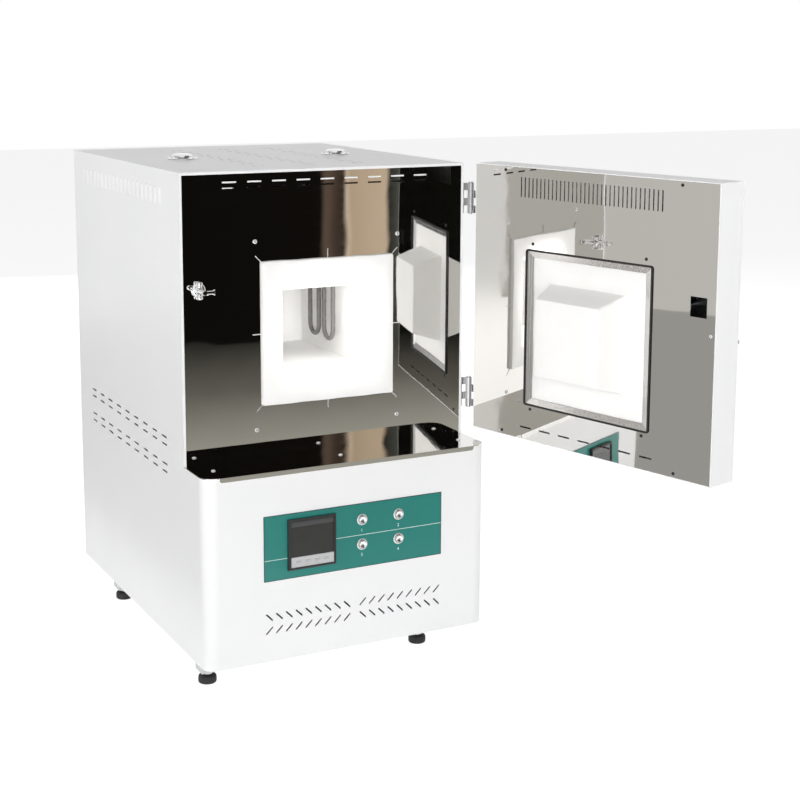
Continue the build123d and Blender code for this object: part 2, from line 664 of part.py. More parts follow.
holders = []
clamps = []
clamp_z = shell_top + CLAMP_RISE
grip = COLD_END_DIAMETER + 2 * FIT_CLEARANCE
for x, y in element_places:
    block = Box(HOLDER_WIDTH, ELEMENT_LEG_PITCH + HOLDER_WIDTH * 0.8, HOLDER_HEIGHT)
    block = fillet(block.edges().filter_by(Axis.Z), HOLDER_WIDTH / 6)
    holders.append(Pos(x, y, shell_top + HOLDER_HEIGHT / 2) * block)
for side_x in (-1, 1):
    row_y = FRONT_Y + ELEMENT_FIRST_DEPTH + ELEMENT_PITCH / 2
    link = ELEMENT_PITCH - ELEMENT_LEG_PITCH
    bridge = Box(CLAMP_WIDTH, link + CLAMP_WIDTH, CLAMP_HEIGHT)
    clamps.append(Pos(side_x * ELEMENT_OFFSET, row_y, clamp_z + CLAMP_HEIGHT / 2) * bridge)
    for end in (-1, 1):
        end_y = row_y + end * (ELEMENT_PITCH + ELEMENT_LEG_PITCH) / 2
        ring = Box(CLAMP_WIDTH, CLAMP_WIDTH, CLAMP_HEIGHT)
        clamps.append(Pos(side_x * ELEMENT_OFFSET, end_y, clamp_z + CLAMP_HEIGHT / 2) * ring)
holes = [rod(grip, (x, y, shell_top), COLD_END_RISE, (0, 0, 1)) for x, y in leg_places]
keep("element_holders", *[holder - holes for holder in holders])
keep("terminal_clamps", *[clamp - holes for clamp in clamps])

# Thermocouple: a ceramic sheath through the back wall, with its head on the shell.
probe = rod(THERMOCOUPLE_DIAMETER, (0, probe_front, probe_z), shell_back - probe_front, (0, 1, 0))
head = rod(THERMOCOUPLE_HEAD, (0, shell_back, probe_z), THERMOCOUPLE_HEAD_LENGTH, (0, 1, 0))
head = chamfer(head.edges().group_by(Axis.Y)[-1], THERMOCOUPLE_HEAD / 10)
keep("thermocouple", probe + head)

# Striker on the plate: base with two grip tabs, a stem with a hooked end and knobs.
# All that stands higher than the gap of the door goes through the latch hole.
striker_x = LATCH_X + STRIKER_SHIFT
striker_at = (striker_x, FRONT_Y, LATCH_Z)
striker_face = Plane(striker_at, x_dir=(1, 0, 0), z_dir=(0, -1, 0))
base = rod(STRIKER_DIAMETER, striker_at, STRIKER_THICKNESS, (0, -1, 0))
tab = extrude(SlotOverall(2 * STRIKER_TAB, STRIKER_DIAMETER / 3), STRIKER_THICKNESS * 0.6)
base = base + striker_face * Rot(0, 0, -20) * tab
base = base - rod(STEM_DIAMETER + 2 * FIT_CLEARANCE, striker_at, 2 * STRIKER_THICKNESS, (0, -1, 0))
knob_reach = LATCH_HOLE_HEIGHT / 2 - KNOB_CLEARANCE
for way in (-1, 1):
    knob_foot = (striker_x, FRONT_Y - KNOB_DIAMETER / 2, LATCH_Z + way * (knob_reach - KNOB_HEIGHT))
    knob = rod(KNOB_DIAMETER, knob_foot, KNOB_HEIGHT, (0, 0, way))
    base = base + chamfer(knob.edges().sort_by(Axis.Z)[-1 if way > 0 else 0], KNOB_DIAMETER / 8)
keep("striker_base", base)
stem = rod(STEM_DIAMETER, striker_at, STEM_LENGTH, (0, -1, 0))
arm_face = Plane((striker_x, FRONT_Y - STEM_LENGTH, LATCH_Z), x_dir=(1, 0, 0), z_dir=(0, 1, 0))
arm = Polyline(
    (0, -STEM_DIAMETER / 2),
    (STEM_ARM - HOOK_LENGTH, -HOOK_NECK / 2),
    (STEM_ARM, -HOOK_WIDTH / 2),
    (STEM_ARM, HOOK_WIDTH / 2),
    (STEM_ARM - HOOK_LENGTH, HOOK_NECK / 2),
    (0, STEM_DIAMETER / 2),
    close=True,
)
stem = stem + extrude(arm_face * make_face(arm), STEM_DIAMETER * 0.6)
keep("striker_stem", stem)

# Round vent caps on the roof, each on a screwed flange.
flanges = []
caps = []
for x, y in vent_places:
    disc = rod(VENT_FLANGE, (x, y, TOP_Z), VENT_FLANGE_THICKNESS, (0, 0, 1))
    neck = rod(VENT_NECK, (x, y, TOP_Z), VENT_FLANGE_THICKNESS + VENT_NECK_HEIGHT, (0, 0, 1))
    flanges.append(disc + neck)
    cap_z = TOP_Z + VENT_FLANGE_THICKNESS + VENT_NECK_HEIGHT - VENT_CAP_SEAT
    cap = rod(VENT_CAP, (x, y, cap_z), VENT_CAP_HEIGHT, (0, 0, 1))
    cap = chamfer(cap.edges().sort_by(Axis.Z)[-1], VENT_CAP_HEIGHT / 3)
    caps.append(cap - rod(VENT_NECK + 2 * FIT_CLEARANCE, (x, y, cap_z), VENT_CAP_SEAT, (0, 0, 1)))
vent_holes = [rod(small_hole, (x, y, TOP_Z), VENT_FLANGE_THICKNESS, (0, 0, 1)) for x, y in vent_screws]
keep("vent_flanges", *[flange - vent_holes for flange in flanges])
keep("vent_caps", *caps)

# Levelling feet: pad and stud in one, a lock nut, and a bracket under the tray.
pads = []
nuts = []
brackets = []
bracket_z = BOTTOM_Z - BRACKET_DEPTH
for x, y in foot_points:
    pad = rod(FOOT_DIAMETER, (x, y, 0), FOOT_HEIGHT, (0, 0, 1))
    pad = chamfer(pad.edges().filter_by(GeomType.CIRCLE), FOOT_CHAMFER)
    pads.append(pad + rod(STUD_DIAMETER, (x, y, FOOT_HEIGHT), STUD_LENGTH, (0, 0, 1)))
    hexagon = RegularPolygon(LOCK_NUT_WIDTH / 2, 6, major_radius=False)
    nut = extrude(Pos(x, y, bracket_z - LOCK_NUT_HEIGHT) * hexagon, LOCK_NUT_HEIGHT)
    nuts.append(nut - rod(stud_hole, (x, y, 0), CABINET_HEIGHT, (0, 0, 1)))
    bracket = extrude(Pos(x, y, bracket_z) * Rectangle(BRACKET_SIZE, BRACKET_SIZE), BRACKET_DEPTH)
    well = BRACKET_SIZE - 2 * BRACKET_SHEET
    inside = extrude(Pos(x, y, bracket_z + BRACKET_SHEET) * Rectangle(well, well), BRACKET_DEPTH)
    bracket = bracket - inside - rod(stud_hole, (x, y, 0), CABINET_HEIGHT, (0, 0, 1))
    brackets.append(bracket)
for name, foot in zip(("foot_left_front", "foot_left_back", "foot_right_front", "foot_right_back"), pads):
    keep(name, foot)
keep("lock_nuts", *nuts)
keep("foot_brackets", *brackets)

# Controller: a case through the panel with a bezel, a dark window and a key strip.
controller_front = panel_front - BEZEL_THICKNESS
bezel_half = CONTROLLER_SIZE / 2
view_half = bezel_half - BEZEL_BORDER
strip_top = controller_z - view_half + KEY_STRIP_HEIGHT
case = slab(
    (controller_x - bezel_half, controller_x + bezel_half),
    (controller_front, panel_front),
    (controller_z - bezel_half, controller_z + bezel_half),
)
case = chamfer(case.faces().sort_by(Axis.Y)[0].edges(), BEZEL_BORDER / 3)
case = case + slab(
    (controller_x - CONTROLLER_BODY / 2, controller_x + CONTROLLER_BODY / 2),
    (panel_front, panel_front + CONTROLLER_LENGTH),
    (controller_z - CONTROLLER_BODY / 2, controller_z + CONTROLLER_BODY / 2),
)
view_x = (controller_x - view_half, controller_x + view_half)
view_y = (controller_front, controller_front + BEZEL_SET + SHEET)
case = case - slab(view_x, view_y, (controller_z - view_half, controller_z + view_half))
window = slab(view_x, (view_y[0] + BEZEL_SET, view_y[1]), (strip_top, controller_z + view_half))
strip = slab(view_x, (view_y[0] + BEZEL_SET / 2, view_y[1]), (controller_z - view_half, strip_top))
key_z = (controller_z - view_half + strip_top) / 2
key_places = [controller_x + x for x in spread(KEY_COUNT, KEY_PITCH)]
key_depth = BEZEL_SET + SHEET
key_front = view_y[0]
pockets = [
    slab(
        (x - KEY_WIDTH / 2 - KEY_CLEARANCE, x + KEY_WIDTH / 2 + KEY_CLEARANCE),
        (view_y[0], key_front + key_depth + KEY_TRAVEL + KEY_CLEARANCE),
        (key_z - KEY_HEIGHT / 2 - KEY_CLEARANCE, key_z + KEY_HEIGHT / 2 + KEY_CLEARANCE),
    )
    for x in key_places
]
keep("controller_case", case - pockets)
keep("controller_window", window)
keep("key_strip", strip - pockets)
for number, x in enumerate(key_places, 1):
    key = slab(
        (x - KEY_WIDTH / 2, x + KEY_WIDTH / 2),
        (key_front, key_front + key_depth),
        (key_z - KEY_HEIGHT / 2, key_z + KEY_HEIGHT / 2),
    )
    keep(f"controller_key_{number}", key)

# Push buttons: a chrome sleeve through the panel and a sprung cap on a stem.
sleeves = []
for number, (x, y, z) in enumerate(button_points, 1):
    flange_y = panel_front - BUTTON_FLANGE_THICKNESS
    sleeve = rod(BUTTON_FLANGE, (x, flange_y, z), BUTTON_FLANGE_THICKNESS, (0, 1, 0))
    sleeve = chamfer(sleeve.edges().sort_by(Axis.Y)[0], BUTTON_FLANGE_THICKNESS / 3)
    sleeve = sleeve + rod(BUTTON_BODY, (x, panel_front, z), BUTTON_BODY_LENGTH, (0, 1, 0))
    cap_depth = BUTTON_FLANGE_THICKNESS + BUTTON_CAP_PROUD
    bore_depth = cap_depth + BUTTON_TRAVEL + BUTTON_CLEARANCE
    sleeve = sleeve - rod(BUTTON_CAP + 2 * BUTTON_CLEARANCE, (x, flange_y, z), bore_depth, (0, 1, 0))
    sleeve = sleeve - rod(BUTTON_STEM + 2 * BUTTON_CLEARANCE, (x, flange_y, z), CONTROL_DEPTH, (0, 1, 0))
    sleeves.append(sleeve)
    cap_y = flange_y - BUTTON_CAP_PROUD
    cap = rod(BUTTON_CAP, (x, cap_y, z), cap_depth + BUTTON_CAP_PROUD, (0, 1, 0))
    cap = chamfer(cap.edges().sort_by(Axis.Y)[0], BUTTON_CAP_PROUD / 3)
    stem = rod(BUTTON_STEM, (x, cap_y + BUTTON_CAP_PROUD, z), BUTTON_STEM_LENGTH, (0, 1, 0))
    keep(f"push_button_{number}", cap + stem)
keep("button_sleeves", *sleeves)

# Cable gland in the rear panel: a threaded barrel with its nut inside, and outside a
# collar and a domed cap.
gx, gy, gz = gland_at
gland_start = BACK_Y - SHEET - GLAND_INSIDE
gland_barrel = GLAND_THREAD - 2 * FIT_CLEARANCE
gland = rod(gland_barrel, (gx, gland_start, gz), GLAND_INSIDE + SHEET + GLAND_COLLAR, (0, 1, 0))
gland = gland + rod(GLAND_DIAMETER, (gx, BACK_Y, gz), GLAND_COLLAR, (0, 1, 0))
dome = rod(GLAND_CAP, (gx, BACK_Y + GLAND_COLLAR, gz), GLAND_LENGTH - GLAND_COLLAR, (0, 1, 0))
dome = fillet(dome.edges().sort_by(Axis.Y)[-1], (GLAND_CAP - GLAND_BORE) / 2.5)
nut_plane = Plane((gx, BACK_Y - SHEET, gz), x_dir=(1, 0, 0), z_dir=(0, -1, 0))
gland_hexagon = RegularPolygon(GLAND_DIAMETER / 2, 6, major_radius=False)
gland_nut = extrude(nut_plane * gland_hexagon, GLAND_NUT_HEIGHT)
gland_bore = rod(GLAND_BORE, (gx, BACK_Y - CONTROL_DEPTH, gz), CABINET_DEPTH, (0, 1, 0))
keep("cable_gland", gland + dome + gland_nut - gland_bore)

# Screws on the cabinet: one group for each size and place.
pan = screw(SCREW_DIAMETER, SCREW_HEAD, SCREW_HEAD_HEIGHT, SCREW_LENGTH)
short_pan = screw(SCREW_DIAMETER, SCREW_HEAD, SCREW_HEAD_HEIGHT, 2 * SHEET)
small_pan = screw(SMALL_SCREW_DIAMETER, SMALL_SCREW_HEAD, SMALL_SCREW_HEAD_HEIGHT, SCREW_LENGTH)
vent_screw_points = [(x, y, TOP_Z + VENT_FLANGE_THICKNESS) for x, y in vent_screws]
cabinet_screws = place(short_pan, plate_screw_points, (1, 0, 0), (0, -1, 0))
cabinet_screws += place(pan, shelf_screw_points, (1, 0, 0), (0, 0, 1))
cabinet_screws += place(pan, rear_screw_points, (1, 0, 0), (0, 1, 0))
keep("cabinet_screws", *cabinet_screws)
keep("vent_screws", *place(small_pan, vent_screw_points, (1, 0, 0), (0, 0, 1)))

# Hinges: knuckles alternate along the pin; each leaf lies flat on its own panel.
knuckle_pitch = HINGE_LENGTH / HINGE_KNUCKLES
knuckle_length = knuckle_pitch - HINGE_KNUCKLE_GAP
hinge_middles = (TOP_Z - HINGE_TOP_DROP, SHELF_Z + HINGE_BOTTOM_RISE)
hinge_bases = [middle - HINGE_LENGTH / 2 for middle in hinge_middles]
radius = KNUCKLE_DIAMETER / 2
cabinet_leaves = []
door_leaves = []
pins = []
for low in hinge_bases:
    leaf_x = (HALF_WIDTH, HALF_WIDTH + LEAF_THICKNESS)
    tall = (low, low + HINGE_LENGTH)
    edge = HINGE_Y + radius
    cabinet_leaf = slab(leaf_x, (edge, FRONT_Y + LEAF_REACH), tall)
    far_edge = HINGE_Y - radius
    door_leaf = slab(leaf_x, (HINGE_Y - DOOR_GAP - LEAF_REACH, far_edge), tall)
    for i in range(HINGE_KNUCKLES):
        z = low + i * knuckle_pitch
        barrel = rod(KNUCKLE_DIAMETER, (HINGE_X, HINGE_Y, z), knuckle_length, (0, 0, 1))
        span = (z, z + knuckle_length)
        if i % 2:
            arm = slab((HALF_WIDTH, HINGE_X), (edge - LEAF_THICKNESS, edge), span)
            cabinet_leaf = cabinet_leaf + arm + barrel
        else:
            arm = slab((HALF_WIDTH, HINGE_X), (far_edge, far_edge + LEAF_THICKNESS), span)
            door_leaf = door_leaf + arm + barrel
    bore = rod(PIN_DIAMETER + 2 * FIT_CLEARANCE, (HINGE_X, HINGE_Y, low), HINGE_LENGTH, (0, 0, 1))
    cabinet_leaves.append(cabinet_leaf - bore)
    door_leaves.append(door_leaf - bore)
    pin = rod(PIN_DIAMETER, (HINGE_X, HINGE_Y, low - PIN_HEAD), HINGE_LENGTH + PIN_HEAD, (0, 0, 1))
    head = rod(PIN_HEAD_DIAMETER, (HINGE_X, HINGE_Y, low + HINGE_LENGTH), PIN_HEAD, (0, 0, 1))
    pins.append(pin + head)
keep("hinge_cabinet_leaves", *cabinet_leaves)
keep("hinge_pins", *pins)

# Door, drawn shut and then swung open about the hinge pins.
door_nodes = {}
board_x = FRAME_SIZE / 2 + DOOR_BOARD_SIDE_MARGIN
board_z = FRAME_SIZE / 2 + DOOR_BOARD_END_MARGIN
liner_back = DOOR_BACK - DOOR_SHEET
outer = slab((-HALF_WIDTH, HALF_WIDTH), (DOOR_FRONT, DOOR_BACK), (DOOR_Z, DOOR_TOP))
hollow_x = (DOOR_SHEET - HALF_WIDTH, HALF_WIDTH - DOOR_SHEET)
hollow = slab(hollow_x, (DOOR_FRONT + DOOR_SHEET, DOOR_BACK), (DOOR_Z + DOOR_SHEET, DOOR_TOP - DOOR_SHEET))
shaft_x = LATCH_X + HANDLE_INSET
shaft_z = LATCH_Z - HANDLE_DROP
shaft_bore = HANDLE_SHAFT + 2 * FIT_CLEARANCE
shaft_hole = rod(shaft_bore, (shaft_x, DOOR_FRONT, shaft_z), LATCH_BOX_DEPTH, (0, 1, 0))
outer = fillet(outer.faces().sort_by(Axis.Y)[0].edges(), DOOR_BEND)
door_nodes["door_shell"] = [outer - hollow - shaft_hole]

# Its mirror liner has the top slots, the bottom dashes, the latch hole and the
# opening for the bevelled trim round the fibre block.
gasket_x = FRAME_SIZE / 2 + GASKET_SIDE_MARGIN
gasket_z = FRAME_SIZE / 2 + GASKET_END_MARGIN
trim_x = gasket_x - GASKET_WIDTH
trim_z = gasket_z - GASKET_WIDTH
trim_y = (DOOR_BACK - BLOCK_RECESS - TRIM_THICKNESS, DOOR_BACK)
trim_block = slab((-trim_x, trim_x), trim_y, (MUFFLE_Z - trim_z, MUFFLE_Z + trim_z))
hole_x = (LATCH_X - LATCH_HOLE_WIDTH / 2, LATCH_X + LATCH_HOLE_WIDTH / 2)
hole_z = (LATCH_Z - LATCH_HOLE_HEIGHT / 2, LATCH_Z + LATCH_HOLE_HEIGHT / 2)
upright = punch_tool(DOOR_SLOT_LENGTH, DOOR_SLOT_WIDTH, 2 * DOOR_SHEET)
dash = punch_tool(DASH_LENGTH, DOOR_SLOT_WIDTH, 2 * DOOR_SHEET)
upright_points = [
    (x, DOOR_BACK, DOOR_TOP - DOOR_SLOT_DROP) for x in spread(DOOR_SLOT_COUNT, DOOR_SLOT_PITCH)
]
dash_points = [(x, DOOR_BACK, DOOR_Z + DASH_RISE) for x in spread(DASH_COUNT, DASH_PITCH)]
door_screw_points = [
    (x, DOOR_BACK, MUFFLE_Z + rise) for x in (-DOOR_SCREW_INNER, DOOR_SCREW_INNER)
    for rise in (-gasket_z - DOOR_SCREW_LOW_MARGIN, gasket_z + DOOR_SCREW_HIGH_MARGIN)
]
door_screw_points += [
    (x, DOOR_BACK, z) for x in (-DOOR_SCREW_OUTER, DOOR_SCREW_OUTER)
    for z in (DOOR_Z + DOOR_SCREW_EDGE, DOOR_TOP - DOOR_SCREW_EDGE)
]
liner = slab(hollow_x, (liner_back, DOOR_BACK), (DOOR_Z + DOOR_SHEET, DOOR_TOP - DOOR_SHEET))
liner = liner - trim_block - slab(hole_x, (liner_back, DOOR_BACK), hole_z)
liner = liner - place(upright, upright_points, (0, 0, 1), (0, 1, 0))
liner = liner - place(dash, dash_points, (1, 0, 0), (0, 1, 0))
liner = liner - [rod(small_hole, (x, liner_back, z), DOOR_SHEET, (0, 1, 0)) for x, y, z in door_screw_points]
latch_screw_at = (LATCH_SCREW_EDGE - HALF_WIDTH, DOOR_BACK, LATCH_Z - LATCH_SCREW_DROP)
liner = liner - rod(small_hole, (latch_screw_at[0], liner_back, latch_screw_at[2]), DOOR_SHEET, (0, 1, 0))
door_nodes["corner_screw"] = place(small_pan, [latch_screw_at], (1, 0, 0), (0, 1, 0))
door_nodes["door_liner"] = [liner]
door_nodes["door_screws"] = place(small_pan, door_screw_points, (1, 0, 0), (0, 1, 0))

# Fibre block with its tapered plug, which follows the funnel of the mouth. The board
# round it stops short of the latch box.
box_start = DOOR_SHEET + LATCH_BOX_GAP - HALF_WIDTH
box_x = (box_start, box_start + LATCH_BOX_WIDTH)
box_z = (LATCH_Z - LATCH_BOX_HEIGHT / 2, LATCH_Z + LATCH_BOX_HEIGHT / 2)
block_back = DOOR_BACK - BLOCK_RECESS
plug_depth = PLUG_LENGTH + block_back + FRAME_STANDOUT - FRONT_Y
share = plug_depth / FRAME_THICKNESS
tip_width = MOUTH_WIDTH + (THROAT_WIDTH - MOUTH_WIDTH) * share - 2 * PLUG_CLEARANCE
tip_height = MOUTH_HEIGHT + (THROAT_HEIGHT - MOUTH_HEIGHT) * share - 2 * PLUG_CLEARANCE
block = slab(
    (-FRAME_SIZE / 2, FRAME_SIZE / 2),
    (block_back - BLOCK_DEPTH, block_back),
    (MUFFLE_Z - FRAME_SIZE / 2, MUFFLE_Z + FRAME_SIZE / 2),
)
tip_at = (0, block_back + PLUG_LENGTH, MUFFLE_Z - THROAT_DROP * share)
tip_plane = Plane(tip_at, x_dir=(1, 0, 0), z_dir=(0, -1, 0))
plug = loft([
    Plane((0, block_back, MUFFLE_Z), x_dir=(1, 0, 0), z_dir=(0, -1, 0))
    * Rectangle(MOUTH_WIDTH - 2 * PLUG_CLEARANCE, MOUTH_HEIGHT - 2 * PLUG_CLEARANCE),
    tip_plane * Rectangle(tip_width, tip_height),
])
door_nodes["door_block"] = [block + plug]
board = slab(
    (-board_x, board_x),
    (DOOR_FRONT + DOOR_SHEET, liner_back),
    (MUFFLE_Z - board_z, MUFFLE_Z + board_z),
)
screw_wells = [
    rod(small_hole, (x, DOOR_BACK - SCREW_WELL, z), SCREW_WELL, (0, 1, 0)) for x, y, z in door_screw_points
]
latch_space = slab(
    (-HALF_WIDTH, box_x[1] + LATCH_BOX_GAP),
    (DOOR_FRONT, DOOR_BACK),
    (box_z[0] - LATCH_BOX_GAP, box_z[1] + LATCH_BOX_GAP),
)
door_nodes["door_insulation"] = [board - block - trim_block - screw_wells - latch_space]
bevel_end = FRAME_SIZE + 2 * TRIM_MARGIN
bevel = loft([
    Plane((0, DOOR_BACK, MUFFLE_Z), x_dir=(1, 0, 0), z_dir=(0, -1, 0)) * Rectangle(2 * trim_x, 2 * trim_z),
    Plane((0, block_back, MUFFLE_Z), x_dir=(1, 0, 0), z_dir=(0, -1, 0)) * Rectangle(bevel_end, bevel_end),
])
door_nodes["door_trim"] = [trim_block - bevel - block]
gasket_y = (DOOR_BACK, DOOR_BACK + GASKET_HEIGHT)
ring = slab((-gasket_x, gasket_x), gasket_y, (MUFFLE_Z - gasket_z, MUFFLE_Z + gasket_z))
inside = slab((-trim_x, trim_x), gasket_y, (MUFFLE_Z - trim_z, MUFFLE_Z + trim_z))
door_nodes["door_gasket"] = [ring - inside]
door_nodes["hinge_door_leaves"] = door_leaves

# Latch box behind the liner, with the pawl on the shaft of the outside handle.
box_y = (liner_back - LATCH_BOX_DEPTH, liner_back)
latch_box = slab(box_x, box_y, box_z) - slab(
    (box_x[0] + DOOR_SHEET, box_x[1] - DOOR_SHEET),
    (box_y[0] + DOOR_SHEET, box_y[1]),
    (box_z[0] + DOOR_SHEET, box_z[1] - DOOR_SHEET),
)
door_nodes["latch_box"] = [latch_box - shaft_hole]
guide_x = LATCH_X + GUIDE_SHIFT
guide_z = LATCH_Z - GUIDE_DROP
door_nodes["latch_guide"] = [
    slab(
        (guide_x - GUIDE_SIZE / 2, guide_x + GUIDE_SIZE / 2),
        (box_y[0] + DOOR_SHEET, box_y[0] + DOOR_SHEET + GUIDE_DEPTH),
        (guide_z - GUIDE_SIZE / 2, guide_z + GUIDE_SIZE / 2),
    )
]
rosette_at = (shaft_x, DOOR_FRONT - ROSETTE_THICKNESS, shaft_z)
rosette = rod(ROSETTE_DIAMETER, rosette_at, ROSETTE_THICKNESS, (0, 1, 0))
rosette = chamfer(rosette.edges().sort_by(Axis.Y)[0], ROSETTE_THICKNESS / 4)
rosette_bore = rod(shaft_bore, rosette_at, DOOR_THICKNESS, (0, 1, 0))
door_nodes["handle_rosette"] = [rosette - rosette_bore]
pawl_back = liner_back - PAWL_DEPTH
handle_y = DOOR_FRONT - HANDLE_STANDOUT
shaft = rod(HANDLE_SHAFT, (shaft_x, handle_y, shaft_z), pawl_back - handle_y, (0, 1, 0))
handle_plane = Plane((shaft_x, handle_y, shaft_z), x_dir=(0, 0, -1), z_dir=(0, 1, 0))
grip_face = Pos(HANDLE_LENGTH / 2 - HANDLE_THICKNESS, 0) * SlotOverall(HANDLE_LENGTH, HANDLE_THICKNESS * 1.4)
grip = extrude(handle_plane * Rot(0, 0, PAWL_TURN) * grip_face, -HANDLE_THICKNESS)
grip = fillet(grip.edges().group_by(Axis.Y)[0], HANDLE_THICKNESS / 4)
door_handle = grip + shaft
pawl_plane = Plane((shaft_x, pawl_back - PAWL_THICKNESS, shaft_z), x_dir=(-1, 0, 0), z_dir=(0, 1, 0))
tip_start = PAWL_REACH - PAWL_WIDTH / 2
pawl_line = Polyline(
    (0, -PAWL_WIDTH / 2),
    (tip_start, -PAWL_WIDTH / 2),
    (PAWL_REACH, 0),
    (tip_start, PAWL_WIDTH / 2),
    (0, PAWL_WIDTH / 2),
    close=True,
)
pawl_face = make_face(pawl_line) + Circle(PAWL_HUB / 2)
pawl = extrude(pawl_plane * Rot(0, 0, PAWL_TURN) * pawl_face, PAWL_THICKNESS)
pawl = pawl - rod(shaft_bore, (shaft_x, DOOR_FRONT, shaft_z), DOOR_THICKNESS, (0, 1, 0))
door_nodes["door_handle"] = [door_handle]
door_nodes["latch_pawl"] = [pawl]

hinge_line = Axis((HINGE_X, HINGE_Y, 0), (0, 0, 1))
for name, shapes in door_nodes.items():
    keep(name, *[shape.rotate(hinge_line, OPEN_ANGLE) for shape in shapes])

os.makedirs("parts", exist_ok=True)
for name, solids in nodes.items():
    export_step(solids[0] if len(solids) == 1 else Compound(solids), f"parts/{name}.step")
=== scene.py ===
import math

import bmesh
import bpy
import numpy as np
from mathutils import Matrix, Vector


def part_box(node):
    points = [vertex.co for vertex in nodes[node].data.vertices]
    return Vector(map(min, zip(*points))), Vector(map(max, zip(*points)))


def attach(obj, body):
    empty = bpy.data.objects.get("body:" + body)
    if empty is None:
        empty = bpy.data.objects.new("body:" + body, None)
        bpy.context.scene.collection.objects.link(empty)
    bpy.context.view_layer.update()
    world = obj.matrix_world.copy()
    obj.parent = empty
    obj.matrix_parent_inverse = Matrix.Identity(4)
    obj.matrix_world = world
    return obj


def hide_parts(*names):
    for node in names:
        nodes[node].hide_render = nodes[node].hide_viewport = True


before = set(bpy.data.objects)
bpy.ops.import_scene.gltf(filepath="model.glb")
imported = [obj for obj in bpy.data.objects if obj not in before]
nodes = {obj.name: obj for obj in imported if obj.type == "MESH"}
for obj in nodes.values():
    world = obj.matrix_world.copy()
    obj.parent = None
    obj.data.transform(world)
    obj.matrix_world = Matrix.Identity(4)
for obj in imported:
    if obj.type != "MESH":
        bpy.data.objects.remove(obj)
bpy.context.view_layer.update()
scene = bpy.context.scene

# Camera: stands to the left of the furnace and above its middle, and looks down a
# little. Its shift keeps the cabinet's upright edges close to upright in the picture.
camera_place = Vector((-1.2244, -2.9800, 1.1608))
camera_yaw, camera_pitch, camera_roll = 0.47939, 0.16487, 0.00422
focal_pixels, picture_width, sensor_width = 1573.57, 800, 36
ahead = Vector((
    math.sin(camera_yaw) * math.cos(camera_pitch),
    math.cos(camera_yaw) * math.cos(camera_pitch),
    -math.sin(camera_pitch),
))
level_right = Vector((math.cos(camera_yaw), -math.sin(camera_yaw), 0))
level_up = level_right.cross(ahead)
right = level_right * math.cos(camera_roll) + level_up * math.sin(camera_roll)
up = level_up * math.cos(camera_roll) - level_right * math.sin(camera_roll)
lens_data = bpy.data.cameras.new("camera")
lens_data.sensor_width = sensor_width
lens_data.lens = focal_pixels / picture_width * sensor_width
lens_data.shift_y = -0.12
lens_data.clip_start, lens_data.clip_end = 0.05, 60
camera = bpy.data.objects.new("camera", lens_data)
scene.collection.objects.link(camera)
camera.matrix_world = Matrix((
    (right.x, up.x, -ahead.x, camera_place.x),
    (right.y, up.y, -ahead.y, camera_place.y),
    (right.z, up.z, -ahead.z, camera_place.z),
    (0, 0, 0, 1),
))
scene.camera = camera
scene.view_settings.view_transform = "Standard"


# Room: a white background for the camera and for reflections, and an even sky for
# light, weaker from straight above so that the roof stays a shade darker.
def add_node(tree, kind, values=None, **settings):
    """A new node of this kind with its settings, and values on its named sockets."""
    node = tree.nodes.new(kind)
    for setting, value in settings.items():
        setattr(node, setting, value)
    for socket, value in (values or {}).items():
        node.inputs[socket].default_value = value
    return node


def seen_by(tree, *ray_kinds):
    """A socket that is 1 for these kinds of ray: the largest of their Light Path outputs."""
    path = add_node(tree, "ShaderNodeLightPath")
    mask = path.outputs[ray_kinds[0]]
    for kind in ray_kinds[1:]:
        larger = add_node(tree, "ShaderNodeMath", operation="MAXIMUM")
        tree.links.new(mask, larger.inputs[0])
        tree.links.new(path.outputs[kind], larger.inputs[1])
        mask = larger.outputs[0]
    return mask


world = bpy.data.worlds.new("room")
scene.world = world
world.use_nodes = True
sky = world.node_tree
sky.nodes.clear()
sky_out = add_node(sky, "ShaderNodeOutputWorld")
white_room = add_node(sky, "ShaderNodeBackground", {"Color": (1, 1, 1, 1)})
even_sky = add_node(sky, "ShaderNodeBackground")
sky_direction = add_node(sky, "ShaderNodeTexCoord")
sky_split = add_node(sky, "ShaderNodeSeparateXYZ")
sky_fade = add_node(sky, "ShaderNodeMapRange",
                    {"From Min": 0.1, "From Max": 1.0, "To Min": 0.62, "To Max": 0.16})
room_mix = add_node(sky, "ShaderNodeMixShader")
sky.links.new(sky_direction.outputs["Generated"], sky_split.inputs[0])
sky.links.new(sky_split.outputs["Z"], sky_fade.inputs["Value"])
sky.links.new(sky_fade.outputs["Result"], even_sky.inputs["Strength"])
sky.links.new(seen_by(sky, "Is Camera Ray", "Is Glossy Ray", "Is Transmission Ray"),
              room_mix.inputs["Fac"])
sky.links.new(even_sky.outputs[0], room_mix.inputs[1])
sky.links.new(white_room.outputs[0], room_mix.inputs[2])
sky.links.new(room_mix.outputs[0], sky_out.inputs["Surface"])


# Soft boxes: a large lamp in front to the left, one on the left side, weaker ones to
# the right, behind and above, all wide, so that no hard shadow falls. A small faint
# one at the mouth stands for the light that the real chamber gathers.
def soft_box(name, place, target, size, watts):
    """A square area lamp at a place, turned to a target, both in metres."""
    lamp = bpy.data.lights.new(name, "AREA")
    lamp.shape = "SQUARE"
    lamp.size = size
    lamp.energy = watts
    holder = bpy.data.objects.new(name, lamp)
    scene.collection.objects.link(holder)
    holder.location = place
    aim = Vector(target) - Vector(place)
    holder.rotation_euler = aim.to_track_quat("-Z", "Y").to_euler()
    holder.visible_glossy = False
    return holder


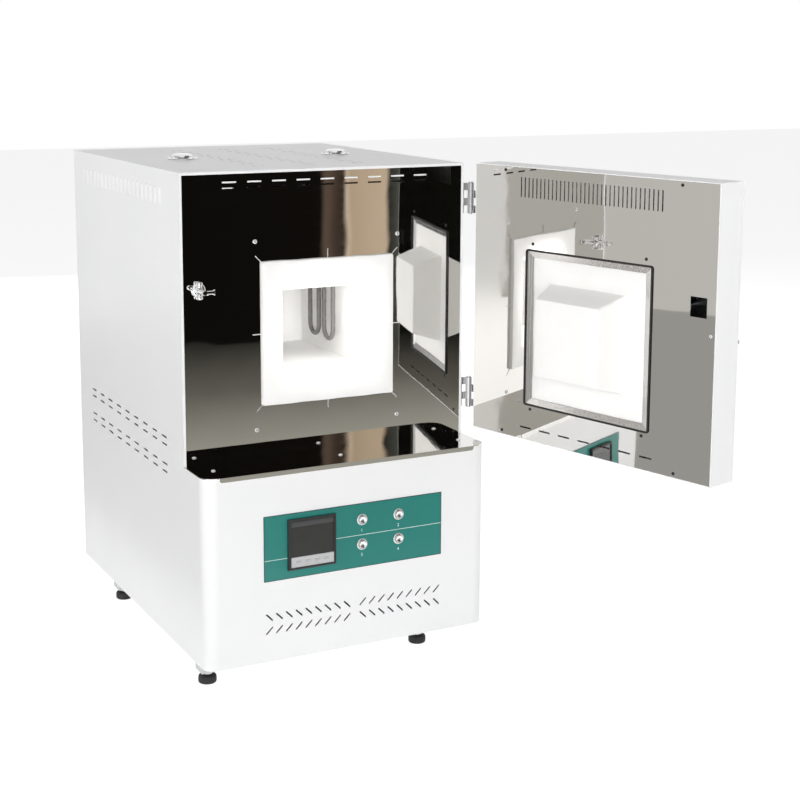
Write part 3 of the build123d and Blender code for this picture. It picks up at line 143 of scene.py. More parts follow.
wide_box = 2.2
soft_box("front_box", (-1.0, -4.2, 1.1), (0, -0.3, 0.6), wide_box, 82)
soft_box("left_box", (-4.0, -0.6, 1.1), (-0.3, 0, 0.5), wide_box, 54)
soft_box("right_box", (3.6, -2.6, 1.3), (0.2, -0.4, 0.6), wide_box, 24)
soft_box("rear_box", (0.9, 4.4, 1.5), (0, 0.3, 0.6), wide_box, 46)
soft_box("top_box", (0, 0.2, 4.6), (0, 0, 0.9), wide_box, 12)
chamber_box = soft_box("chamber_box", (0, -0.37, 0.67), (0, -0.05, 0.59), 0.12, 0.24)
chamber_box.visible_camera = False


# Floor: a wide matt sheet of a nearly white colour that keeps the soft shadow. The
# camera and the polished steel see it a little brighter than it lights the furnace.
def bare_material(name):
    """A new material with an output alone: the material, its node tree and the output."""
    made = bpy.data.materials.new(name)
    made.use_nodes = True
    made.node_tree.nodes.clear()
    return made, made.node_tree, add_node(made.node_tree, "ShaderNodeOutputMaterial")


floor_reach = 14
floor_mesh = bpy.data.meshes.new("floor")
floor_mesh.from_pydata([(-floor_reach, -floor_reach, 0), (floor_reach, -floor_reach, 0),
                        (floor_reach, floor_reach, 0), (-floor_reach, floor_reach, 0)],
                       [], [(0, 1, 2, 3)])
floor = bpy.data.objects.new("floor", floor_mesh)
scene.collection.objects.link(floor)
floor_paint, floor_tree, floor_out = bare_material("floor_paint")
matt = add_node(floor_tree, "ShaderNodeBsdfDiffuse", {"Color": (0.93, 0.93, 0.93, 1)})
glow = add_node(floor_tree, "ShaderNodeEmission", {"Color": (1, 1, 1, 1), "Strength": 0.66})
floor_mix = add_node(floor_tree, "ShaderNodeMixShader")
floor_add = add_node(floor_tree, "ShaderNodeAddShader")
floor_tree.links.new(matt.outputs[0], floor_add.inputs[0])
floor_tree.links.new(glow.outputs[0], floor_add.inputs[1])
floor_tree.links.new(seen_by(floor_tree, "Is Camera Ray", "Is Glossy Ray"), floor_mix.inputs["Fac"])
floor_tree.links.new(matt.outputs[0], floor_mix.inputs[1])
floor_tree.links.new(floor_add.outputs[0], floor_mix.inputs[2])
floor_tree.links.new(floor_mix.outputs[0], floor_out.inputs["Surface"])
floor_mesh.materials.append(floor_paint)


# Dark screens: a tall card in front of the furnace to the right, and a mat before
# it, which only the polished steel sees. They give it the dark of a real room.
def stage_card(name, corners, colour=None, stripes=None):
    """A flat card between four corners in metres, seen in reflections only: of one
    colour, or with shades at shares of the way along an axis from one place to another."""
    mesh = bpy.data.meshes.new(name)
    mesh.from_pydata(corners, [], [(0, 1, 2, 3)])
    card = bpy.data.objects.new(name, mesh)
    scene.collection.objects.link(card)
    paint, tree, out = bare_material(name)
    shine = add_node(tree, "ShaderNodeEmission")
    tree.links.new(shine.outputs[0], out.inputs["Surface"])
    if colour:
        shine.inputs["Color"].default_value = (*colour, 1)
    if stripes:
        axis, begin, end, shades = stripes
        place = add_node(tree, "ShaderNodeTexCoord")
        split = add_node(tree, "ShaderNodeSeparateXYZ")
        spread = add_node(tree, "ShaderNodeMapRange", {"From Min": begin, "From Max": end})
        ramp = add_node(tree, "ShaderNodeValToRGB")
        steps = ramp.color_ramp.elements
        while len(steps) < len(shades):
            steps.new(0.5)
        for step, (at, shade) in zip(steps, shades):
            step.position = at
            step.color = (*shade, 1)
        tree.links.new(place.outputs["Object"], split.inputs[0])
        tree.links.new(split.outputs[axis], spread.inputs["Value"])
        tree.links.new(spread.outputs["Result"], ramp.inputs["Fac"])
        tree.links.new(ramp.outputs["Color"], shine.inputs["Color"])
    mesh.materials.append(paint)
    card.visible_camera = False
    card.visible_diffuse = False
    card.visible_shadow = False


mat_height = 0.002
stage_card(
    "dark_screen",
    [(0.2, -3.6, -0.1), (4.6, -2.2, -0.1), (4.6, -2.2, 3.4), (0.2, -3.6, 3.4)],
    stripes=("X", 0.2, 4.6, [
        (0.0, (0.004, 0.004, 0.003)), (0.257, (0.006, 0.005, 0.004)), (0.259, (0.26, 0.19, 0.14)),
        (0.262, (0.09, 0.06, 0.045)), (0.274, (0.03, 0.022, 0.016)), (0.277, (0.66, 0.53, 0.40)),
        (0.281, (0.50, 0.39, 0.27)), (0.309, (0.60, 0.47, 0.34)), (0.3115, (0.02, 0.018, 0.015)),
        (0.330, (0.13, 0.14, 0.12)), (0.350, (0.02, 0.02, 0.018)), (0.42, (0.008, 0.008, 0.007)),
        (0.6, (0.04, 0.036, 0.03)), (1.0, (0.08, 0.075, 0.07)),
    ]),
)
stage_card(
    "dark_mat",
    [(0.1, -3.6, mat_height), (4.6, -3.0, mat_height), (4.6, -0.9, mat_height),
     (0.1, -0.9, mat_height)],
    stripes=("Y", -3.4, -0.9, [
        (0.0, (0.020, 0.019, 0.016)), (0.35, (0.13, 0.125, 0.105)), (0.7, (0.40, 0.39, 0.34)),
        (1.0, (0.58, 0.56, 0.51)),
    ]),
)

# Grey wall and grey mat on the left, behind the cabinet's left side: they are what the
# polished liner of the open door mirrors.
stage_card("grey_screen", [(-3.4, -2.4, 0), (-3.4, 3.4, 0), (-3.4, 3.4, 2.6), (-3.4, -2.4, 2.6)],
           (0.58, 0.57, 0.54))
stage_card("grey_mat", [(-3.4, -0.8, mat_height), (-0.45, -0.8, mat_height),
                        (-0.45, 3.4, mat_height), (-3.4, 3.4, mat_height)],
           (0.36, 0.355, 0.335))


# Powder-coated panels: folded steel sheet with a smooth white coat. The coat has a
# faint orange peel, and a little grey dust settles where a surface faces up.
def surface_marks():
    """Node group: clouds, fine grain and long streaks of noise from a position."""
    group = bpy.data.node_groups.new("surface_marks", "ShaderNodeTree")
    for name, kind in (("Position", "NodeSocketVector"), ("Cloud Scale", "NodeSocketFloat"),
                       ("Grain Scale", "NodeSocketFloat"), ("Streak Scale", "NodeSocketVector")):
        group.interface.new_socket(name, in_out="INPUT", socket_type=kind)
    for name in ("Clouds", "Grain", "Streaks"):
        group.interface.new_socket(name, in_out="OUTPUT", socket_type="NodeSocketFloat")
    came = group.nodes.new("NodeGroupInput")
    gone = group.nodes.new("NodeGroupOutput")
    for scale_name, out_name, detail in (("Cloud Scale", "Clouds", 4), ("Grain Scale", "Grain", 2)):
        noise = add_node(group, "ShaderNodeTexNoise", {"Detail": detail})
        group.links.new(came.outputs["Position"], noise.inputs["Vector"])
        group.links.new(came.outputs[scale_name], noise.inputs["Scale"])
        group.links.new(noise.outputs["Fac"], gone.inputs[out_name])
    stretch = add_node(group, "ShaderNodeVectorMath", operation="MULTIPLY")
    streaks = add_node(group, "ShaderNodeTexNoise", {"Scale": 1, "Detail": 3})
    group.links.new(came.outputs["Position"], stretch.inputs[0])
    group.links.new(came.outputs["Streak Scale"], stretch.inputs[1])
    group.links.new(stretch.outputs[0], streaks.inputs["Vector"])
    group.links.new(streaks.outputs["Fac"], gone.inputs["Streaks"])
    return group


def settled_dust():
    """Node group: a mask that is 1 in patches of dust on faces that look up."""
    group = bpy.data.node_groups.new("settled_dust", "ShaderNodeTree")
    for name, way, kind in (("Position", "INPUT", "NodeSocketVector"),
                            ("Amount", "INPUT", "NodeSocketFloat"),
                            ("Dust", "OUTPUT", "NodeSocketFloat")):
        group.interface.new_socket(name, in_out=way, socket_type=kind)
    came = group.nodes.new("NodeGroupInput")
    gone = group.nodes.new("NodeGroupOutput")
    geometry = add_node(group, "ShaderNodeNewGeometry")
    split = add_node(group, "ShaderNodeSeparateXYZ")
    upward = add_node(group, "ShaderNodeMapRange", {"From Min": 0.6, "From Max": 1.0})
    noise = add_node(group, "ShaderNodeTexNoise", {"Scale": 9, "Detail": 6})
    patch = add_node(group, "ShaderNodeMath", operation="MULTIPLY")
    measure = add_node(group, "ShaderNodeMath", operation="MULTIPLY")
    group.links.new(geometry.outputs["Normal"], split.inputs[0])
    group.links.new(split.outputs["Z"], upward.inputs["Value"])
    group.links.new(came.outputs["Position"], noise.inputs["Vector"])
    group.links.new(upward.outputs["Result"], patch.inputs[0])
    group.links.new(noise.outputs["Fac"], patch.inputs[1])
    group.links.new(patch.outputs[0], measure.inputs[0])
    group.links.new(came.outputs["Amount"], measure.inputs[1])
    group.links.new(measure.outputs[0], gone.inputs["Dust"])
    return group


marks_group = surface_marks()
dust_group = settled_dust()
dust_colour = (0.55, 0.54, 0.52, 1)


def overlay(material, mask, colour):
    """Lays a plain colour over a material's own where the mask socket is 1."""
    tree = material.node_tree
    base = tree.nodes["Principled BSDF"].inputs["Base Color"]
    mixed = add_node(tree, "ShaderNodeMix", data_type="RGBA")
    mixed.inputs["B"].default_value = colour
    tree.links.new(mask, mixed.inputs["Factor"])
    tree.links.new(base.links[0].from_socket, mixed.inputs["A"])
    tree.links.new(mixed.outputs["Result"], base)


def finish(name, light, dark, smooth, rough, grain, peel, metal=0.0, streak=(4, 4, 900),
           clouds=6.0, dust=0.0, coat=0.0):
    """A material whose colour runs from light to dark and roughness from smooth to rough
    with the marks, with a bump of the fine grain as deep as peel, in metres."""
    made = bpy.data.materials.new(name)
    made.use_nodes = True
    tree = made.node_tree
    shader = tree.nodes["Principled BSDF"]
    shader.inputs["Metallic"].default_value = metal
    shader.inputs["Coat Weight"].default_value = coat
    shader.inputs["Coat Roughness"].default_value = 0.08
    place = add_node(tree, "ShaderNodeTexCoord")
    marks = add_node(tree, "ShaderNodeGroup", node_tree=marks_group)
    marks.inputs["Cloud Scale"].default_value = clouds
    marks.inputs["Grain Scale"].default_value = grain
    marks.inputs["Streak Scale"].default_value = streak
    tone = add_node(tree, "ShaderNodeMix", data_type="RGBA")
    tone.inputs["A"].default_value = (*light, 1)
    tone.inputs["B"].default_value = (*dark, 1)
    gloss = add_node(tree, "ShaderNodeMapRange",
                     {"From Min": 0.3, "From Max": 0.7, "To Min": smooth, "To Max": rough})
    tree.links.new(place.outputs["Object"], marks.inputs["Position"])
    tree.links.new(marks.outputs["Clouds"], tone.inputs["Factor"])
    tree.links.new(tone.outputs["Result"], shader.inputs["Base Color"])
    tree.links.new(marks.outputs["Streaks" if metal else "Clouds"], gloss.inputs["Value"])
    tree.links.new(gloss.outputs["Result"], shader.inputs["Roughness"])
    if dust:
        film = add_node(tree, "ShaderNodeGroup", node_tree=dust_group)
        film.inputs["Amount"].default_value = dust
        tree.links.new(place.outputs["Object"], film.inputs["Position"])
        overlay(made, film.outputs["Dust"], dust_colour)
    if peel:
        bump = add_node(tree, "ShaderNodeBump", {"Strength": 0.5, "Distance": peel})
        tree.links.new(marks.outputs["Grain"], bump.inputs["Height"])
        tree.links.new(bump.outputs["Normal"], shader.inputs["Normal"])
    return made


def dress(material, *names):
    """CAD nodes that keep their shape take this material."""
    for name in names:
        mesh = nodes[name].data
        mesh.materials.clear()
        mesh.materials.append(material)


white_coat = finish("white_powder_coat", (0.90, 0.90, 0.90), (0.86, 0.865, 0.87),
                    smooth=0.30, rough=0.36, grain=700, peel=0.00002, dust=0.18, coat=0.08)
dress(white_coat, "left_side_panel", "right_side_panel", "top_cover", "rear_panel",
      "control_cover", "door_shell")

# Polished stainless sheet: front plate, shelf over the controls, door liner and the
# bevelled trim of the door. Rolled, mirror-polished and wiped, so nearly clean.
mirror_steel = finish("mirror_polished_steel", (0.83, 0.82, 0.80), (0.78, 0.77, 0.75),
                      smooth=0.012, rough=0.035, grain=5, peel=0.0009, metal=1.0, streak=(3, 3, 60),
                      clouds=3)
dress(mirror_steel, "front_plate", "control_shelf", "door_liner")
satin_trim = finish("satin_steel_trim", (0.72, 0.71, 0.70), (0.62, 0.61, 0.60),
                    smooth=0.18, rough=0.30, grain=900, peel=0.00001, metal=1.0,
                    streak=(900, 900, 6))
dress(satin_trim, "door_trim")

# Plain rolled sheet inside the cabinet: shell of the muffle, its channels, the deck,
# the base tray and the foot brackets, bare and slightly dull.
rolled_sheet = finish("rolled_steel_sheet", (0.58, 0.59, 0.60), (0.46, 0.47, 0.48),
                      smooth=0.30, rough=0.48, grain=500, peel=0.00003, metal=1.0,
                      streak=(5, 700, 700), dust=0.2)
dress(rolled_sheet, "inner_shell", "shell_supports", "deck", "base_pan", "foot_brackets")

# Ceramic fibre: vacuum-formed board of the mouth, the lining, the blanket round it
# and the door block. Chalky, a little uneven, with short fibres that catch the light.
fibre_board = finish("ceramic_fibre_board", (0.96, 0.955, 0.94), (0.91, 0.90, 0.88),
                     smooth=0.85, rough=0.98, grain=260, peel=0.0006, clouds=14)
dress(fibre_board, "muffle_lining", "insulation", "door_insulation")


# Mouth frame: a thick square of fibre board with a funnel to the chamber. Its edges
# are broken by hand, so they are rounded and slightly uneven.
def joined(points, faces, name, material, body, replaces=(), sharp=35):
    """A mesh piece from points in metres, with doubles merged, faces turned outwards and
    smooth shading up to the sharp angle in degrees. It rides on a body."""
    mesh = bpy.data.meshes.new(name)
    mesh.from_pydata(points.reshape(-1, 3).tolist(), [], faces)
    work = bmesh.new()
    work.from_mesh(mesh)
    bmesh.ops.remove_doubles(work, verts=work.verts, dist=1e-6)
    bmesh.ops.dissolve_degenerate(work, dist=1e-7, edges=work.edges)
    bmesh.ops.recalc_face_normals(work, faces=work.faces)
    work.to_mesh(mesh)
    work.free()
    mesh.polygons.foreach_set("use_smooth", [True] * len(mesh.polygons))
    mesh.set_sharp_from_angle(angle=math.radians(sharp))
    mesh.materials.append(material)
    piece = bpy.data.objects.new(name, mesh)
    scene.collection.objects.link(piece)
    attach(piece, body)
    if replaces:
        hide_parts(*replaces)


def grid_faces(rows, columns, start=0):
    """Quads between rows of points that each close on themselves, from a first point on."""
    row = np.arange(rows - 1)[:, None]
    column = np.arange(columns)[None, :]
    after = (column + 1) % columns
    quads = np.stack([row * columns + column, row * columns + after,
                      (row + 1) * columns + after, (row + 1) * columns + column], axis=-1)
    return (quads.reshape(-1, 4) + start).tolist()


def ring_faces(rows, columns, start=0):
    """The quads that join the last row to the first one, where a profile comes full round."""
    last = start + (rows - 1) * columns
    return [[last + i, last + (i + 1) % columns, start + (i + 1) % columns, start + i]
            for i in range(columns)]


def tube_faces(rows, columns):
    """Quads of a tube along its rows, and a flat face over either end."""
    last = (rows - 1) * columns
    return grid_faces(rows, columns) + [list(range(columns)), list(range(last, last + columns))]


HINGE = np.array([0.304, -0.336])
OPEN = math.radians(104.3)


def on_open_door(points):
    """Points drawn on the shut door, turned about the hinge line to the open door:
    x' = hx + (x-hx)cos a - (y-hy)sin a, y' = hy + (x-hx)sin a + (y-hy)cos a."""
    moved = points.copy()
    dx, dy = points[:, 0] - HINGE[0], points[:, 1] - HINGE[1]
    moved[:, 0] = HINGE[0] + dx * math.cos(OPEN) - dy * math.sin(OPEN)
    moved[:, 1] = HINGE[1] + dx * math.sin(OPEN) + dy * math.cos(OPEN)
    return moved


def rounded_loop(half_x, half_z, radius, side_steps, corner_steps=5):
    """Points of a rectangle with rounded corners: corner arcs c + r(cos t, sin t) and
    straight sides in equal steps, from the end of the right side, turning left."""
    inner = np.array([half_x - radius, half_z - radius])
    centres = [inner * signs for signs in ((1, 1), (-1, 1), (-1, -1), (1, -1))]
    quarter_turn = math.pi / 2
    share = np.linspace(0, 1, side_steps + 1)[1:-1, None]
    loop = []
    for quarter, centre in enumerate(centres):
        angle = quarter * quarter_turn + np.linspace(0, quarter_turn, corner_steps)
        spokes = radius * np.stack([np.cos(angle), np.sin(angle)], axis=1)
        begin, end = centre + spokes[-1], centres[(quarter + 1) % 4] + spokes[-1]
        loop += [centre + spokes, begin + (end - begin) * share]
    return np.concatenate(loop)


def rim(profile, side_steps):
    """Stacks rounded loops along a profile of (half x, half z, corner radius, y, centre z)
    into one grid of points: rows follow the profile, columns go round the loop."""
    rows = []
    for half_x, half_z, radius, y, centre_z in profile:
        loop = rounded_loop(half_x, half_z, radius, side_steps)
        rows.append(np.stack([loop[:, 0], np.full(len(loop), y), loop[:, 1] + centre_z], axis=1))
    return np.array(rows)


def hand_worked(grid, depth, seed):
    """Adds the unevenness of formed fibre: five crossed sine waves, each finer and lower
    than the one before: depth / (n + 1) * sin(p . way + phase) * push."""
    rng = np.random.default_rng(seed)
    points = grid.reshape(-1, 3)
    moved = points.copy()
    coarsest, finer_by, full_turn = 40, 35, 6.28
    for wave in range(5):
        way = rng.normal(size=3) * (coarsest + finer_by * wave)
        phase = rng.uniform(0, full_turn)
        push = rng.normal(size=3)
        moved += depth / (wave + 1) * np.sin(points @ way + phase)[:, None] * push
    return moved


low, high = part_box("mouth_frame")
middle = (low.z + high.z) / 2
front_y, back_y = low.y, high.y
half, soft = 0.135, 0.0022
mouth_x, mouth_z = 0.0953, 0.0942
throat_x, throat_z, throat_drop = 0.0777, 0.0720, 0.0034
frame_profile = [
    (half, half, 0.0015, back_y, middle),
    (half, half, 0.0015, front_y + 0.03, middle),
    (half, half, 0.003, front_y + soft, middle),
    (half - soft * 0.3, half - soft * 0.3, 0.003, front_y + soft * 0.3, middle),
    (half - soft, half - soft, 0.003, front_y, middle),
    (0.118, 0.117, 0.004, front_y, middle),
    (mouth_x + soft, mouth_z + soft, 0.004, front_y, middle),
    (mouth_x + soft * 0.2, mouth_z + soft * 0.2, 0.004, front_y + soft * 0.4, middle),
    (0.0947, 0.0935, 0.004, front_y + soft, middle),
    (0.0865, 0.0831, 0.004, (front_y + back_y) / 2, middle - throat_drop / 2),
    (throat_x, throat_z, 0.004, back_y, middle - throat_drop),
]
frame_grid = rim(frame_profile, 14)
rows, columns = frame_grid.shape[:2]
frame_points = hand_worked(frame_grid, depth=0.00016, seed=3)
frame_points[:columns] = frame_grid[0]
frame_points[-columns:] = frame_grid[-1]
joined(frame_points, grid_faces(rows, columns) + ring_faces(rows, columns), "mouth_frame_board",
       fibre_board, "cabinet", ("mouth_frame",))

# Door block: the same board on the door, with a plug that tapers like the funnel. Its
# edges are rubbed round by use.
plate_y, door_gap, block_recess = -0.331, 0.005, 0.003
block_depth, plug_length = 0.052, 0.058
block_y = plate_y - door_gap - block_recess
tip = block_y + plug_length
block_profile = [
    (half, half, 0.0015, block_y - block_depth, middle),
    (half, half, 0.0015, block_y - soft, middle),
    (half - soft * 0.3, half - soft * 0.3, 0.003, block_y - soft * 0.3, middle),
    (half - soft, half - soft, 0.003, block_y, middle),
    (0.110, 0.109, 0.004, block_y, middle),
    (0.0930, 0.0920, 0.004, block_y, middle),
    (0.0912, 0.0900, 0.005, block_y + 0.0012, middle),
    (0.0845, 0.0815, 0.005, block_y + 0.030, middle - 0.0013),
    (0.0776, 0.0728, 0.005, tip - soft, middle - 0.0026),
    (0.0768, 0.0720, 0.005, tip - soft * 0.3, middle - 0.0027),
    (0.0750, 0.0702, 0.005, tip, middle - 0.0027),
    (0.0400, 0.0380, 0.005, tip, middle - 0.0027),
]
block_grid = rim(block_profile, 14)
block_points = hand_worked(block_grid, depth=0.00020, seed=8)
joined(on_open_door(block_points), tube_faces(*block_grid.shape[:2]), "door_plug_block",
       fibre_board, "door", ("door_block",))

# Gasket of the door: a near-black cord laid in a square round the trim and glued,
# in the gap between the trim and the liner. Its bump gives it a coarse, uneven grain.
# Near-black colour of the cord that fills the gap round the trim.
gasket_cloth = finish("woven_gasket", (0.035, 0.033, 0.031), (0.012, 0.012, 0.012),
                      smooth=0.7, rough=0.95, grain=1500, peel=0.0004, clouds=300)
liner_y, cord_lift, cord_half_width, cord_half_height = -0.336, 0.00165, 0.00175, 0.0015
gasket_half_x, gasket_half_z, gasket_corner = 0.15075, 0.14825, 0.004
cord_steps = 10
gasket_rows = []
for step in range(cord_steps):
    around = 2 * math.pi * step / cord_steps
    out = cord_half_width * math.cos(around)
    cord_y = liner_y + cord_lift + cord_half_height * math.sin(around)
    gasket_rows.append((gasket_half_x + out, gasket_half_z + out, gasket_corner + out, cord_y,
                        middle))
gasket_grid = rim(gasket_rows, 10)
rows, columns = gasket_grid.shape[:2]
joined(on_open_door(gasket_grid.reshape(-1, 3)),
       grid_faces(rows, columns) + ring_faces(rows, columns), "door_gasket_cord", gasket_cloth,
       "door", ("door_gasket",))

# Heating elements: silicide rods, dark and glazed, thin in the chamber and thick in
# the roof, where ceramic blocks hold them and straps of aluminium link them.
silicide = finish("glazed_silicide", (0.20, 0.19, 0.18), (0.09, 0.085, 0.08),
                  smooth=0.18, rough=0.38, grain=300, peel=0.00005, clouds=60, coat=0.3)
dress(silicide, "heating_elements")
holder_ceramic = finish("holder_ceramic", (0.80, 0.77, 0.70), (0.68, 0.65, 0.58),
                        smooth=0.55, rough=0.75, grain=500, peel=0.00008, clouds=40)
dress(holder_ceramic, "element_holders", "thermocouple")
strap_metal = finish("strap_aluminium", (0.74, 0.75, 0.76), (0.60, 0.61, 0.62),
                     smooth=0.3, rough=0.42, grain=600, peel=0.00002, metal=1.0,
                     streak=(600, 8, 600))
dress(strap_metal, "terminal_clamps")

# Latch: a folded box behind the liner, a nylon guide in it, the pawl, and the lever
# outside with its rosette. The lever is a chromed casting, rounded all over.
galvanised = finish("galvanised_sheet", (0.30, 0.31, 0.32), (0.20, 0.205, 0.21),
                    smooth=0.38, rough=0.55, grain=300, peel=0.00003, metal=1.0,
                    streak=(30, 30, 30), clouds=90)
dress(galvanised, "latch_box")
nylon = finish("white_nylon", (0.86, 0.86, 0.84), (0.80, 0.80, 0.78),
               smooth=0.42, rough=0.55, grain=500, peel=0.00003, clouds=50)
dress(nylon, "latch_guide")
bright_metal = finish("bright_chrome", (0.86, 0.86, 0.87), (0.78, 0.78, 0.79),
                      smooth=0.05, rough=0.14, grain=400, peel=0.00001, metal=1.0,
                      streak=(60, 60, 60), clouds=40)
dress(bright_metal, "latch_pawl")


def square_to(along):
    """Two unit directions square to a third: side, nearest to up or to +X, and across."""
    side = np.array((0, 0, 1.0)) if abs(along[2]) < 0.5 else np.array((1.0, 0, 0))
    across = np.cross(along, side)
    across /= np.linalg.norm(across)
    return np.cross(across, along), across


def turned(name, profile, centres, along, material, body, replaces, steps=48):
    """Turned pieces: each point (r, h) of the profile, in millimetres, goes round the line
    from its centre: centre + h * along + r (cos t * side + sin t * across). A profile that
    starts and ends at a bore is closed along it."""
    along = np.array(along, float)
    side, across = square_to(along)
    angle = np.linspace(0, 2 * math.pi, steps, endpoint=False)
    ring = np.cos(angle)[:, None] * side + np.sin(angle)[:, None] * across
    line = np.array(profile, float) / 1000
    shape = line[:, None, 1:2] * along + line[:, None, 0:1] * ring[None]
    bored = np.any(line[0] != line[-1]) and (line[0, 0] > 0 or line[-1, 0] > 0)
    blocks, faces = [], []
    for number, centre in enumerate(np.array(centres, float).reshape(-1, 3)):
        blocks.append(shape.reshape(-1, 3) + centre)
        start = number * len(line) * steps
        faces += grid_faces(len(line), steps, start)
        if bored:
            faces += ring_faces(len(line), steps, start)
    joined(np.concatenate(blocks), faces, name, material, body, replaces)


shaft = np.array((-0.2085, -0.401, 0.7145))
rosette_spot = on_open_door(shaft[None])[0]
outward = np.array((math.sin(OPEN), -math.cos(OPEN), 0))
turned("handle_rosette_cap", [
    (5.1, 0), (22.6, 0), (23.0, 0.5), (23.0, 2.6), (22.3, 4.2), (20.4, 5.4), (17.5, 6.0),
    (9.5, 6.0), (8.6, 5.6), (5.1, 5.6),
], rosette_spot, outward, bright_metal, "door", ("handle_rosette",))


# Lever of the latch: a rounded bar that thins towards its end, on the round shaft of
# the pawl. Its section is a superellipse whose half width and depth change along it.
def squared(wave, power):
    """sign(w) |w|^power: a cosine or sine that turns a circle into a superellipse."""
    return np.sign(wave) * np.abs(wave) ** power


def end_round(share, begin, least):
    """The height of a quarter ellipse from begin to 1: sqrt(1 - ((s - begin) / (1 - begin))^2)."""
    past = np.clip(share - begin, 0, 1) / (1 - begin)
    return np.sqrt(np.clip(1 - past ** 2, least, 1))


pawl_turn = math.radians(35)
lever_y, lever_start, lever_length = -0.438, -0.0138, 0.1045
share = np.linspace(0, 1, 40)
around = np.linspace(0, 2 * math.pi, 28, endpoint=False)
swell = end_round(1 - share, 0.91, 0.0004) * end_round(share, 0.93, 0.0004)
half_width = ((0.0097 - 0.0020 * share) * swell)[:, None] * squared(np.cos(around), 0.62)
half_depth = ((0.0069 - 0.0012 * share) * np.sqrt(swell))[:, None] * squared(np.sin(around), 0.62)
run = (lever_start + lever_length * share)[:, None]
lever = np.stack([
    shaft[0] - math.sin(pawl_turn) * run + math.cos(pawl_turn) * half_width,
    lever_y + half_depth,
    shaft[2] - math.cos(pawl_turn) * run - math.sin(pawl_turn) * half_width,
], axis=-1)
joined(on_open_door(lever.reshape(-1, 3)), tube_faces(*lever.shape[:2]), "latch_lever",
       bright_metal, "handle", ("door_handle",), 50)
shaft_end = np.array([[shaft[0], -0.353, shaft[2]]])
turned("latch_shaft", [(0, 0), (5, 0), (5, 70), (5.6, 72.5), (7.2, 75.5), (7.2, 80), (0, 80)],
       on_open_door(shaft_end)[0], outward, bright_metal, "handle", ("door_handle",),
       32)

# Striker: a chromed casting fixed to the plate, with two round knobs, two tabs and a
# post whose arm ends in a hook. The post stands in a bore of the base.
striker = np.array((-0.2565, plate_y, 0.7185))
turned("striker_disc", [
    (5.1, 0), (13, 0), (13, 2.2), (12.2, 3.3), (10.6, 3.9), (7.6, 4), (6.8, 4.6), (5.6, 4.8),
    (5.1, 4.6),
], striker, (0, -1, 0), bright_metal, "cabinet", ("striker_base",))
for height, way in (("low", -1), ("high", 1)):
    turned(f"striker_knob_{height}", [
        (0, 0), (4.6, 0), (4.9, 3.4), (5.6, 4.0), (5.95, 4.8), (5.95, 8.6), (5.4, 9.9),
        (4.4, 10.5), (0, 10.7),
    ], striker + (0, -0.006, way * 0.0056), (0, 0, way), bright_metal, "cabinet",
        ("striker_base",), 32)
tab_share = np.linspace(-1, 1, 25)
tab_around = np.linspace(0, 2 * math.pi, 16, endpoint=False)
tab_tilt = math.radians(-20)
tab_reach = (0.0225 * tab_share)[:, None]
tab_half = 0.0042 * end_round(np.abs(tab_share), 0.82, 0.001)[:, None]
tab_wide = tab_half * squared(np.cos(tab_around), 0.5)
tab_rise = 0.0012 + 0.0012 * squared(np.sin(tab_around), 0.5)
tabs = np.stack(np.broadcast_arrays(
    striker[0] + math.cos(tab_tilt) * tab_reach - math.sin(tab_tilt) * tab_wide,
    striker[1] - tab_rise,
    striker[2] + math.sin(tab_tilt) * tab_reach + math.cos(tab_tilt) * tab_wide,
), axis=-1)
joined(tabs, tube_faces(*tabs.shape[:2]), "striker_tabs", bright_metal, "cabinet",
       ("striker_base",), 40)
turned("striker_post", [
    (0, 0), (4.95, 0), (4.95, 6), (4.3, 8), (4.3, 28), (4.9, 30), (4.95, 34.8), (4.3, 35.8),
    (0, 36),
], striker, (0, -1, 0), bright_metal, "cabinet", ("striker_stem",), 32)
arm_share = np.linspace(0, 1, 24)
arm_around = np.linspace(0, 2 * math.pi, 20, endpoint=False)
arm_y, arm_start, arm_length, arm_thick = -0.364, -0.003, 0.0228, 0.0027
arm_flare = 0.0036 + 0.0030 * np.clip((arm_share - 0.72) / 0.28, 0, 1) ** 1.5
arm_round = end_round(arm_share, 0.93, 0.02)
arm = np.stack(np.broadcast_arrays(
    striker[0] + (arm_start + arm_length * arm_share)[:, None],
    arm_y + (arm_thick * arm_round)[:, None] * squared(np.cos(arm_around), 0.6),
    striker[2] + (arm_flare * arm_round)[:, None] * squared(np.sin(arm_around), 0.6),
), axis=-1)
joined(arm, tube_faces(*arm.shape[:2]), "striker_arm", bright_metal, "cabinet",
       ("striker_stem",), 50)

# Hinges: stainless leaves with rolled knuckles on a headed pin, brushed along their
# height. They keep their CAD shape.
hinge_steel = finish("hinge_steel", (0.70, 0.70, 0.71), (0.58, 0.58, 0.59),
                     smooth=0.16, rough=0.28, grain=500, peel=0.00001, metal=1.0,
                     streak=(500, 500, 8))
dress(hinge_steel, "hinge_cabinet_leaves", "hinge_door_leaves", "hinge_pins")

